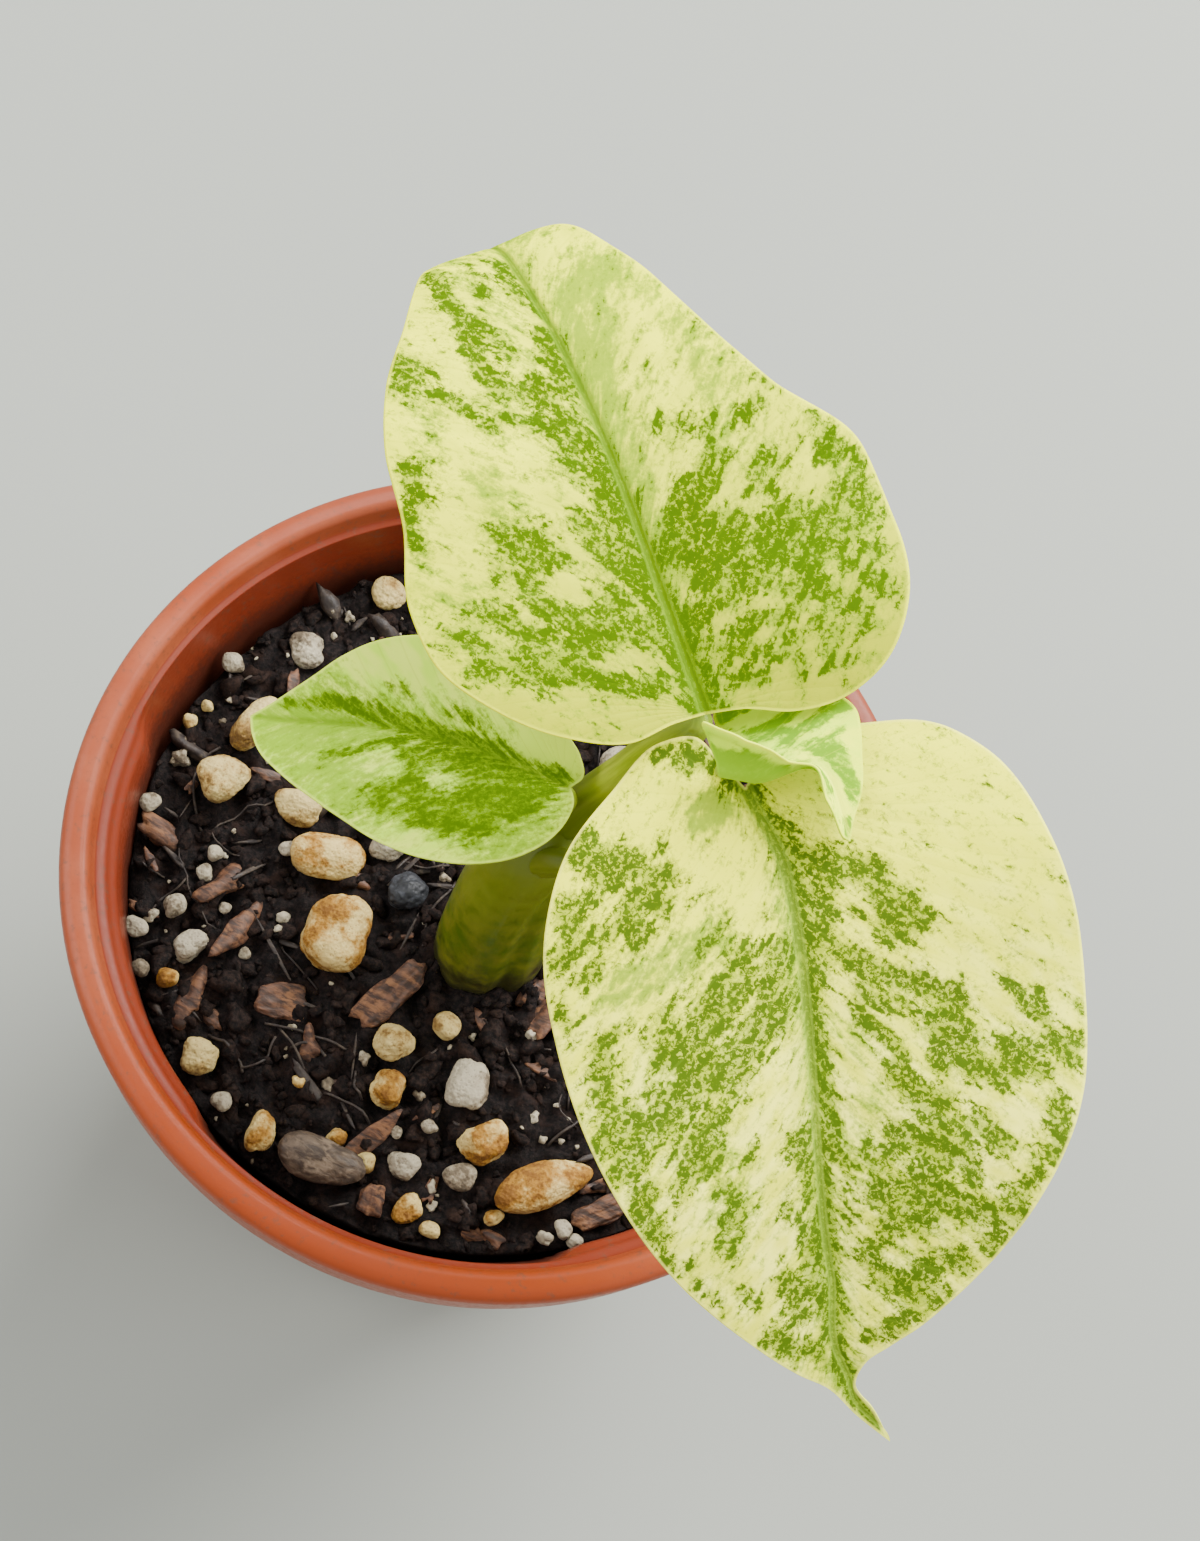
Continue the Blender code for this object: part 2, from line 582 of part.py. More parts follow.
# Stalk routes from the stem's head to under each blade, heights over the rim plane, then end radii
STALKS = {
    "petiole_upper": (
        [(3.4, -0.3, 13.1), (3.6, -0.2, 15), (5.2, 0.8, 22), (7.2, 1.6, 30), (9.0, 2.2, 38), (10.5, 2.4, 45.4)],
        2.2, 1.3,
    ),
    "petiole_lower": (
        [(4.0, -4.5, 13.1), (4.3, -4.8, 15), (8.0, -5.6, 22), (12.4, -5.0, 30), (15.6, -3.3, 37), (16.9, -1.9, 42)],
        1.4, 1.2,
    ),
    "petiole_left": (
        [(-0.4, -2.4, 12.9), (-0.4, -2.4, 15), (0.6, -2.6, 19), (1.7, -2.4, 23), (2.3, -1.8, 27)],
        1.5, 1.2,
    ),
    "petiole_new": (
        [(6.8, -1.6, 13), (7.0, -1.6, 15), (9.6, -0.8, 24), (12.6, 0.8, 35), (14.8, 2.0, 44)],
        0.8, 0.7,
    ),
}
STALK_SIDES = 8


def make_stalks():
    material = plain_material("stalk green", (0.46, 0.52, 0.12), 0.45)
    for name, (route, low_radius, high_radius) in STALKS.items():
        path = smooth_line([(x, y, z + RIM_PLANE) for x, y, z in route], 3)
        tube(name, path, np.linspace(low_radius, high_radius, len(path)), STALK_SIDES, material)


def main():
    for old in list(bpy.data.objects):
        bpy.data.objects.remove(old, do_unlink=True)
    make_pot()
    soil = make_soil(plain_material("potting mix", (0.035, 0.022, 0.016), 0.95))
    sockets = [make_stem(SOCKET_GAP, hidden=True), make_roots(SOCKET_GAP, hidden=True)]
    for stone in STONES:
        make_stone(*stone, grown=0, hidden=False)
        sockets.append(make_stone(stone[0] + "_socket", *stone[1:], grown=SOCKET_GAP, hidden=True))
    for chip in CHIPS:
        make_chip(*chip, grown=0, hidden=False)
        sockets.append(make_chip(chip[0] + "_socket", *chip[1:], grown=SOCKET_GAP, hidden=True))
    cut(soil, sockets, "sockets")
    make_stem()
    make_roots()
    make_stalks()
    cream = plain_material("variegated leaf", (0.62, 0.68, 0.30), 0.4)
    make_blade("leaf_upper", UPPER, 2, cream)
    make_blade("leaf_lower", LOWER, 2, cream)
    make_blade("leaf_left", LEFT, 1, cream)
    make_blade("leaf_new", NEW, 1, cream)


main()
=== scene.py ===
"""Looks of a potted green snow monstera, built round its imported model.

Sizes are in millimetres in the pot's frame and become metres as each mesh is made.
"""

import math

import bmesh
import bpy
import numpy as np
from mathutils import Matrix, Vector, noise
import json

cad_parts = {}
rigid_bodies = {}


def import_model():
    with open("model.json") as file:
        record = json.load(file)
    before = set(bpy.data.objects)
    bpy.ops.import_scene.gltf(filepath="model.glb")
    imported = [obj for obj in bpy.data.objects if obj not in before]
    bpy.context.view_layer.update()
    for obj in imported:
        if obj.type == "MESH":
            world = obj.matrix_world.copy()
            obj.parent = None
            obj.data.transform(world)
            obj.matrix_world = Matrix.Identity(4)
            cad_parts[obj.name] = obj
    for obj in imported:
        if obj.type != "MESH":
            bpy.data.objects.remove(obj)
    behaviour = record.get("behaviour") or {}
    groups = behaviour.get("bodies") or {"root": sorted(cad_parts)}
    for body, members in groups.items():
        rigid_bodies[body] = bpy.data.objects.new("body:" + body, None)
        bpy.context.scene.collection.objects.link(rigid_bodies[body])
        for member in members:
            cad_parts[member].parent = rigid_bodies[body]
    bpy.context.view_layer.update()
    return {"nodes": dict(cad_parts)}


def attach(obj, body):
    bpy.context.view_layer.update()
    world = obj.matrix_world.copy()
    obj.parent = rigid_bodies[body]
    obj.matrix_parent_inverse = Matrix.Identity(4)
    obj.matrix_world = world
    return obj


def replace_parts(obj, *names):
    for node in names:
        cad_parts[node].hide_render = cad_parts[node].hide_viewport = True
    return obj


MM = 0.001
UV_SCALE = 0.01
TURN = 2 * math.pi
POT_HEIGHT = 80.0
FLOOR = 1.8
WALL = 1.3
FOOT_RADIUS = 31.5
WALL_TOP_RADIUS = 39.7
RIM_RADIUS = 45.0
SOIL_LEVEL = 69.0
SOIL_SLOPE = 0.04
STEM_FOOT = (2.4, -6.4)

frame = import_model()


# Curves and meshes

def ease(knots, x):
    """Value at x of a smooth curve through (place, value) knots, level beyond both ends."""
    places, values = np.array(knots, float).T
    x = np.asarray(x, float)
    i = np.clip(np.searchsorted(places, x) - 1, 0, len(places) - 2)
    t = np.clip((x - places[i]) / (places[i + 1] - places[i]), 0, 1)
    return values[i] + (values[i + 1] - values[i]) * t * t * (3 - 2 * t)


def unit(vectors):
    return vectors / np.linalg.norm(vectors, axis=-1, keepdims=True)


def run_length(points):
    """Length of a line of points from its start to each of them."""
    return np.concatenate([[0], np.cumsum(np.linalg.norm(np.diff(points, axis=0), axis=1))])


def smooth_line(points, steps):
    """Points on a smooth curve through the given ones, with `steps` of them to each stretch."""
    p = np.array(points, float)
    t = run_length(p)
    slope = np.gradient(p, t, axis=0)
    line = []
    for i in range(len(p) - 1):
        span = t[i + 1] - t[i]
        for k in range(steps):
            h = k / steps
            line.append(
                (1 + 2 * h) * (1 - h) ** 2 * p[i]
                + h * (1 - h) ** 2 * span * slope[i]
                + h * h * (3 - 2 * h) * p[i + 1]
                + h * h * (h - 1) * span * slope[i + 1]
            )
    return np.array(line + [p[-1]])


def even_line(points, count):
    """The same curve with `count` points evenly spaced along it."""
    line = smooth_line(points, 12)
    length = run_length(line)
    places = np.linspace(0, length[-1], count)
    return np.stack([np.interp(places, length, column) for column in line.T], axis=1)


def circle(sides):
    """The angles of `sides` even places round a circle."""
    return [TURN * k / sides for k in range(sides)]


def polar(radius, angle):
    return radius * math.cos(angle), radius * math.sin(angle)


def linked(name, data):
    """An object with this data, in the scene."""
    thing = bpy.data.objects.new(name, data)
    bpy.context.scene.collection.objects.link(thing)
    return thing


def piece(name, points, faces, material, attributes=None, maps=None, sharp=None):
    """An object that rides on the plant, with doubled points joined and faces turned outwards.

    `attributes` are values at the points and `maps` are UV maps given at the points.
    """
    points = np.asarray(points, float)
    first, back = np.unique(np.round(points, 4), axis=0, return_index=True, return_inverse=True)[1:]
    back = back.reshape(-1)
    joined = [list(dict.fromkeys(int(back[corner]) for corner in face)) for face in faces]
    mesh = bpy.data.meshes.new(name)
    mesh.from_pydata((points[first] * MM).tolist(), [], [face for face in joined if len(face) > 2])
    for key, values in (attributes or {}).items():
        values = np.asarray(values, float)[first]
        kind, field = ("FLOAT_VECTOR", "vector") if values.ndim == 2 else ("FLOAT", "value")
        layer = mesh.attributes.new(key, kind, "POINT")
        layer.data.foreach_set(field, values.astype(np.float32).ravel())
    bm = bmesh.new()
    bm.from_mesh(mesh)
    bmesh.ops.recalc_face_normals(bm, faces=bm.faces)
    bm.to_mesh(mesh)
    bm.free()
    corners = np.zeros(len(mesh.loops), np.int32)
    mesh.loops.foreach_get("vertex_index", corners)
    for key, values in (maps or {}).items():
        layer = mesh.uv_layers.new(name=key)
        layer.data.foreach_set("uv", np.asarray(values, float)[first][corners].astype(np.float32).ravel())
    mesh.shade_smooth()
    if sharp:
        mesh.set_sharp_from_angle(angle=math.radians(sharp))
    mesh.materials.append(material)
    thing = linked(name, mesh)
    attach(thing, "root")
    return thing


def crowd(name, shapes, faces, material):
    """One piece made of many shapes that share their faces."""
    size = len(shapes[0])
    every = [tuple(size * k + corner for corner in face) for k in range(len(shapes)) for face in faces]
    piece(name, np.concatenate(shapes), every, material)


def ring_faces(rings, sides):
    """Quads between rings of `sides` points, with a point before the first and one after the last."""
    faces = []
    for ring in range(rings - 1):
        for k in range(sides):
            a, b = 1 + ring * sides + k, 1 + ring * sides + (k + 1) % sides
            faces.append((a, b, b + sides, a + sides))
    last = 1 + rings * sides
    for k in range(sides):
        after = (k + 1) % sides
        faces += [(0, 1 + after, 1 + k), (last, last - sides + k, last - sides + after)]
    return faces


def ball(detail):
    """Points and faces of a unit ball."""
    bm = bmesh.new()
    bmesh.ops.create_icosphere(bm, subdivisions=detail, radius=1)
    points = np.array([v.co[:] for v in bm.verts])
    faces = [tuple(v.index for v in f.verts) for f in bm.faces]
    bm.free()
    return points, faces


def turned_about_z(points, degrees):
    c, s = math.cos(math.radians(degrees)), math.sin(math.radians(degrees))
    return points @ np.array(((c, s, 0), (-s, c, 0), (0, 0, 1)))


# Materials. Colours are linear.

class Wire:
    """A value in a material, whose sums, differences and products are Math nodes."""

    def __init__(self, look, socket):
        self.look, self.socket = look, socket

    def __add__(self, other):
        return self.look.math("ADD", self, other)

    def __sub__(self, other):
        return self.look.math("SUBTRACT", self, other)

    def __rsub__(self, other):
        return self.look.math("SUBTRACT", other, self)

    def __mul__(self, other):
        return self.look.math("MULTIPLY", self, other)


class Look:
    """A material whose nodes are added by short calls that each return a wire."""

    def __init__(self, name, **shader):
        self.material = bpy.data.materials.new(name)
        self.material.use_nodes = True
        self.tree = self.material.node_tree
        self.shader = self.tree.nodes["Principled BSDF"]
        for key, value in shader.items():
            self.shader.inputs[key.replace("_", " ")].default_value = value

    def put(self, socket, value):
        if isinstance(value, Wire):
            self.tree.links.new(value.socket, socket)
        elif socket.type == "RGBA":
            socket.default_value = (*value, 1.0)
        else:
            socket.default_value = value

    def node(self, kind, inputs, out=0, **settings):
        node = self.tree.nodes.new("ShaderNode" + kind)
        for key, value in settings.items():
            setattr(node, key, value)
        for key, value in inputs.items():
            self.put(node.inputs[key], value)
        return Wire(self, node.outputs[out])

    def math(self, operation, a, b=0.0):
        return self.node("Math", {0: a, 1: b}, operation=operation)

    def step(self, value, low, high, bottom=0.0, top=1.0):
        """A smooth step of `value` from low to high."""
        inputs = {"Value": value, "From Min": low, "From Max": high, "To Min": bottom, "To Max": top}
        return self.node("MapRange", inputs, interpolation_type="SMOOTHSTEP")

    def fade(self, value, low, high):
        """A smooth step down from 1 at low to 0 at high."""
        return 1.0 - self.step(value, low, high)

    def mix(self, amount, a, b):
        return self.node("Mix", {0: amount, 6: a, 7: b}, out=2, data_type="RGBA")

    def value(self, name):
        return self.node("Attribute", {}, out="Fac", attribute_name=name)

    def vector(self, name):
        return self.node("Attribute", {}, out="Vector", attribute_name=name)

    def scaled(self, where, stretch):
        return self.node("VectorMath", {0: where, 1: stretch}, operation="MULTIPLY")

    def place(self, stretch=(1000, 1000, 1000)):
        """The object's own coordinates in millimetres, stretched."""
        return self.scaled(self.node("TexCoord", {}, out="Object"), stretch)

    def flat(self, name):
        """A UV map, back in millimetres."""
        return self.scaled(self.node("UVMap", {}, uv_map=name), (1 / UV_SCALE, 1 / UV_SCALE, 1))

    def noise(self, where, scale, detail, rough, distort=0.0):
        inputs = {"Vector": where, "Scale": scale, "Detail": detail, "Roughness": rough, "Distortion": distort}
        return self.node("TexNoise", inputs, out="Fac")

    def coat(self, amount, colour):
        """Lays a colour over the base colour."""
        self.base = self.mix(amount, self.base, colour)

    def done(self, height, strength, distance, gloss, low, high):
        """The material, with relief of `distance` millimetres and a roughness from low to high."""
        inputs = {"Height": height, "Strength": strength, "Distance": distance * MM}
        self.put(self.shader.inputs["Base Color"], self.base)
        self.put(self.shader.inputs["Normal"], self.node("Bump", inputs, out="Normal"))
        self.put(self.shader.inputs["Roughness"], self.step(gloss, 0.3, 0.7, low, high))
        return self.material


# Leaves

# Each leaf is drawn flat, u across to the right and v along the midrib from the stalk, then bent:
# pitch is the midrib's slope, fold and curl how each half rises beside it, bank the tilt to one side.
# wave is the margin's height, length and phase. Lists are (v, value) knots, and margins (u, v) points.
UPPER = {
    "at": (10.9, 2.1, 46.3), "heading": 139, "bank": 3,
    "pitch": [(-10, 14), (0, 16), (14, 14), (30, 6), (42, -6), (50, -78), (60, -88)],
    "fold": ([(-4, 24), (14, 11), (45, 4)], [(-4, 8), (20, 8), (45, 4)]), "curl": -0.5,
    "sway": [(0, 0), (30, 0.8), (55, 0)], "wave": (0.9, 26, 0.5),
    "right": [
        (0, 0), (3.3, -0.8), (6.8, -2.4), (11.1, -2.9), (15, -1.6), (19.2, 3), (21.6, 9.5), (21.8, 17),
        (16.2, 24.4), (13, 32), (10.6, 39), (7.6, 44.5), (3.6, 50), (0, 55.5),
    ],
    "left": [
        (0, 0), (-3, 0.2), (-7.4, 0), (-12, 2), (-17, 6), (-20.4, 11), (-20.6, 16.6), (-18.4, 23.5),
        (-17.4, 30), (-14.9, 35.5), (-11.2, 40.3), (-7.6, 45.3), (-3.8, 50.5), (0, 55.5),
    ],
}
LOWER = {
    "at": (16.6, -1.2, 43.5), "heading": -49, "bank": -12,
    "pitch": [(-8, -22), (0, -10), (20, -19), (45, -30), (62, -42)],
    "fold": ([(-8, 8), (10, 7), (45, 7), (60, 14)], [(-8, 6), (10, 7), (45, 7), (60, 14)]),
    "curl": -0.25, "sway": [(0, 0), (7, -1.4), (42, 2.2), (48, 2.9), (53, 1.9), (60, -1.3)],
    "wave": (0.6, 30, 0.2),
    "right": [
        (0, 0), (1.5, -2.7), (3.0, -5.1), (6.1, -5.4), (11.2, -2.4), (16.2, 1.5), (19.8, 8), (20.8, 18),
        (19.6, 29), (15.8, 38.6), (9.8, 46.8), (6.4, 50.3), (4.1, 52.2), (1.7, 55.8), (-1.2, 59.6),
    ],
    "left": [
        (0, 0), (-2.4, -2.4), (-6, -3.4), (-11.3, -2.8), (-16.4, -1.5), (-21, 2.8), (-23.6, 10.5),
        (-24.2, 20), (-22, 30.3), (-16.4, 38.2), (-9.6, 44.6), (-5.3, 47.5), (-1.8, 49.3), (0.3, 50.4),
        (1.5, 52.7), (0.3, 55.1), (-1.2, 59.6),
    ],
}
LEFT = {
    "at": (3.1, -1.5, 28.0), "heading": 186, "bank": 8,
    "pitch": [(-6, 0), (0, -4), (15, -10), (30, -24), (38, -34)],
    "fold": ([(-4, 30), (8, 34), (20, 28), (36, 12)], [(-4, 22), (20, 24), (36, 12)]),
    "curl": -0.6, "sway": [(0, 0), (12, 0.8), (31, -1.4)], "wave": (0.4, 22, 0.0),
    "right": [
        (0, 0), (1.2, -0.8), (3, 0), (4.8, 2), (7, 5), (8.9, 8.4), (9.8, 12), (9.6, 16.5),
        (8, 20.2), (5.8, 23), (3.6, 25.2), (1.6, 27.4), (0, 29.3), (-1.4, 31.1),
    ],
    "left": [
        (0, 0), (-1.4, -0.7), (-3.6, -0.7), (-6, 0.1), (-8.6, 2), (-10.9, 5.3), (-12.1, 9.5), (-11.9, 14),
        (-10.6, 18.2), (-8.7, 22.6), (-6.8, 26), (-5, 28.6), (-3.1, 30.2), (-1.4, 31.1),
    ],
}
NEW = {
    "at": (13.95, -1.7, 45.4), "heading": -2, "bank": 0,
    "pitch": [(0, 38), (5, 24), (8, -8), (11, -28), (14.5, -48)],
    "fold": ([(-3, 106), (4, 100), (7, 62), (9.5, 22), (15, 8)], [(0, -10), (4, -6), (9, 6), (12, 4)]),
    "curl": -0.3, "sway": [(0, 0), (3, -0.1), (7.8, -3.1), (14, 0.2)], "wave": (0, 22, 0),
    "right": [
        (0, 0), (3.4, 0), (5.6, 0.2), (5.1, 1.6), (4.7, 2.8), (4.1, 3.6), (2.8, 4.4), (1.8, 5.1), (0.8, 5.6),
        (-0.6, 6.1), (-1.2, 6.9), (-1.1, 8), (-0.3, 9.4), (0.5, 11), (0.9, 12.4), (0.4, 13.9),
    ],
    "left": [
        (0, 0), (-2.4, -0.6), (-4.3, -2.1), (-6, -4), (-7.6, -4.2), (-9, -2.6), (-9.6, 0.5), (-9.9, 4),
        (-10, 6.4), (-9.3, 8.6), (-8.1, 9.6), (-6.4, 10.7), (-4.9, 11.8), (-3.1, 12.6), (-1.4, 13), (0.4, 13.9),
    ],
}
VEIN_LEAN = 0.7
ROWS_TO_A_VEIN = 8

# Strokes of the variegation: strength, radius, then u and v of each point.
# "green" is dense speckle, "haze" soft green under the surface, and "pale" takes green away.
UPPER["green"] = (
    (1.5, 1.1, .2, 0, 0, 4, -.2, 8, -.3, 12, -.6, 15, -.7, 19, -.7, 24), (1.4, 1.2, -.8, 13, -1.5, 16.5, -1.2, 19.5),
    (.95, .8, -3.5, 14.8, -2.2, 13.8, -1, 11.5), (.9, .6, .9, 1, .6, 5, 1.4, 7, 3, 8.2),
    (.75, .9, -1.5, 21, -1.5, 24.5, -2.5, 25.5, -3, 27), (.6, .8, -4.3, 24.5, -3, 22.5),
    (.9, .7, -.8, 25, -1.4, 27.5, -3, 30, -4.5, 30.8, -5.8, 31.5), (.9, .6, -2, 30, -3, 31.8),
    (.9, .8, -6, 31.5, -6.8, 33.5, -6.8, 36, -6.2, 38.5, -6.3, 45), (.75, .6, -3.8, 34.5, -4.6, 37, -5.2, 39),
    (.6, .6, -3.5, 41, -3.3, 44), (.6, .7, -.6, 39.5, -.8, 43), (1.4, .75, -.1, 30.3, -.3, 33, -.2, 35.3),
    (.6, .5, .3, 36.5, .4, 39.5), (.8, 1.2, -13.2, 37, -12.5, 36, -13.5, 35),
    (.75, .6, -12, 33.3, -10.5, 32, -9.6, 30.8), (.6, .7, -8.5, 31.2, -7, 31), (.6, .8, -8.5, 28.8, -7, 29.3),
    (.5, .6, -5.8, 28.5, -5.3, 27), (.55, .6, -3.9, 28.5, -4.6, 26.5), (.7, 1.0, -16.5, 25.5, -16, 27.5),
    (.7, .9, -18, 22.5, -17.6, 24), (.8, 1.1, -11.5, 20, -10, 18.8, -8.3, 18.3),
    (.8, .9, -10, 20, -11, 18.5, -9.5, 16.5), (.7, .8, -9, 17.5, -7, 16.5), (.7, .8, -12, 18, -12.5, 16.8),
    (.75, .9, -10.8, 15.8, -10.5, 13.8, -9, 12, -7.6, 11), (.7, .9, -15, 14.6, -13.6, 13, -12.5, 11.5, -11.5, 10.5),
    (.65, 1, -18.5, 13, -17, 12.3, -16.5, 13.5), (.65, 1, -17.8, 10, -16.3, 9.5, -16, 11),
    (.85, 1.3, -13.8, 9.3, -11.8, 8.2, -9.5, 8.4, -7, 9, -5, 10.5, -4, 11.3),
    (.9, 1.2, -5.5, 9, -3.5, 9.3, -2, 8.2, -1, 7), (.8, .9, -10.5, 7.3, -8.5, 6.2, -6.3, 4.8),
    (.85, .7, -4.8, 4, -3.6, 3.9, -2.7, 4.1), (.75, .9, -4, 16.3, -3.5, 18.3, -4.5, 19), (.6, .7, -2.5, 19, -3, 17),
    (.5, .7, -6, 12.2, -5, 11.5), (.9, 1.5, 2.8, 14.3, 4.5, 13.2, 6.5, 12.8, 8, 13.4),
    (.9, 1.2, 2.8, 12, 3.5, 11.2, 5, 12.2), (.85, .8, 9, 14.3, 7.8, 15, 3.3, 15.2),
    (.85, .7, 1.2, 13.7, 2.2, 15.4, 4, 17, 5.5, 18.7), (.8, .9, 4, 16.5, 6, 18, 7, 18.3, 8.6, 20.3),
    (.8, .7, 6, 16.8, 8, 18.4, 9.6, 19.8), (.6, .9, 5.8, 22.8, 6.3, 24.3, 7.5, 23.5), (.6, .7, 9, 21.5, 10.3, 23.5),
    (.6, .7, 12, 22, 13.5, 23.3, 14.4, 23), (.55, .6, 15, 25.3, 16, 24), (.65, .9, 11.5, 17, 12.3, 18.6, 14, 17.8),
    (.65, .7, 10.8, 16.3, 12.5, 15.8), (.7, 1, 18.3, 18, 18.6, 16.8), (.65, .9, 18.2, 20, 19.5, 17),
    (.7, .8, 20.5, 16, 20.4, 14), (.9, 1.4, 5, 10.5, 7, 10, 8.5, 9.7),
    (.9, 1.3, 10.3, 12, 12, 13.2, 14, 13, 14.5, 11.5), (.9, 1.3, 11, 10.5, 13.5, 10.5, 15.5, 11.5, 17.5, 12.5),
    (.85, 1.2, 17, 12.5, 18.5, 13.3, 20, 12.5, 19.3, 11), (.85, 1.1, 12.5, 8.8, 14.5, 9.2, 16.5, 9.8, 18.5, 10.5),
    (.85, .7, 1.2, 7.2, 2.3, 8.2, 4, 8.5, 5.5, 8.1), (.8, .7, 9, 8.3, 10.5, 7.2, 11.5, 7.3),
    (.7, .7, 12.5, 7, 10.8, 5.7), (.75, .7, 1.8, 6, 3.5, 4.8, 4.5, 3.8, 5.5, 4.4),
    (.75, .6, 5, 5.5, 7, 6, 8.5, 5.3, 9.6, 5.5), (.65, .6, 6, 3.2, 8, 2.4, 9, 1.2, 8.5, .4),
    (.75, .6, 2.8, 1.8, 4, 1.6, 5.5, 1), (.7, .5, 2.5, 2.6, 3, 3.4), (.65, .8, 11.5, 3.8, 12.3, 2.6, 11.5, 1),
    (.7, .8, 12.8, 4.5, 14, 5.8, 13, 6.5), (.7, .9, 15.5, 7.5, 17, 7, 18.5, 7.8),
    (.7, .8, 16.5, 5.5, 18, 5.3, 17.8, 4), (.6, .6, 15.5, 3.5, 14.5, 1.8, 15.8, 1.8),
    (.55, .5, 10.5, 0, 12.5, 0, 14.5, -.5), (.65, .7, 14.3, 4, 15.3, 4.8), (.7, .6, 8.2, 4.2, 9, 3.2),
)
UPPER["haze"] = (
    (.7, 1.8, -10.5, 24.5, -10, 21.5), (.5, 1.8, -9, 27, -7, 30, -5, 28), (.45, 1.8, -14, 29, -13, 32),
    (.55, 1.5, -16.5, 16.5, -15, 15.8), (.5, 2, -18.5, 19.5, -18, 23),
    (.95, 1.9, 1.2, 14, 1.4, 20, 1.8, 26, 2.6, 32, 3, 36), (.9, 2.8, 3.5, 34, 4.5, 38, 7, 39),
    (.6, 1.6, 9, 39, 10, 36), (.75, 1.2, 9.5, 20.5, 10.8, 23.5, 11, 27, 11, 31, 10.3, 33),
    (.5, 1.5, 13, 26, 12.5, 30), (.5, 1.8, 12, 18, 13, 20), (.6, 1.8, 10, 10.5, 13, 10), (.4, 2, 6, 27, 4, 24),
    (.5, 1.6, -4, 22, -3, 26), (.5, 1.4, -3, 33, -3, 38, -4, 43), (.5, 1.2, 1, 42, 0, 46),
    (.6, 1.5, 19, 18, 19.5, 15), (.9, 1.2, .6, 0, .5, 8, .5, 18), (.7, 3, -5, 48, -1, 50, 3, 48),
)
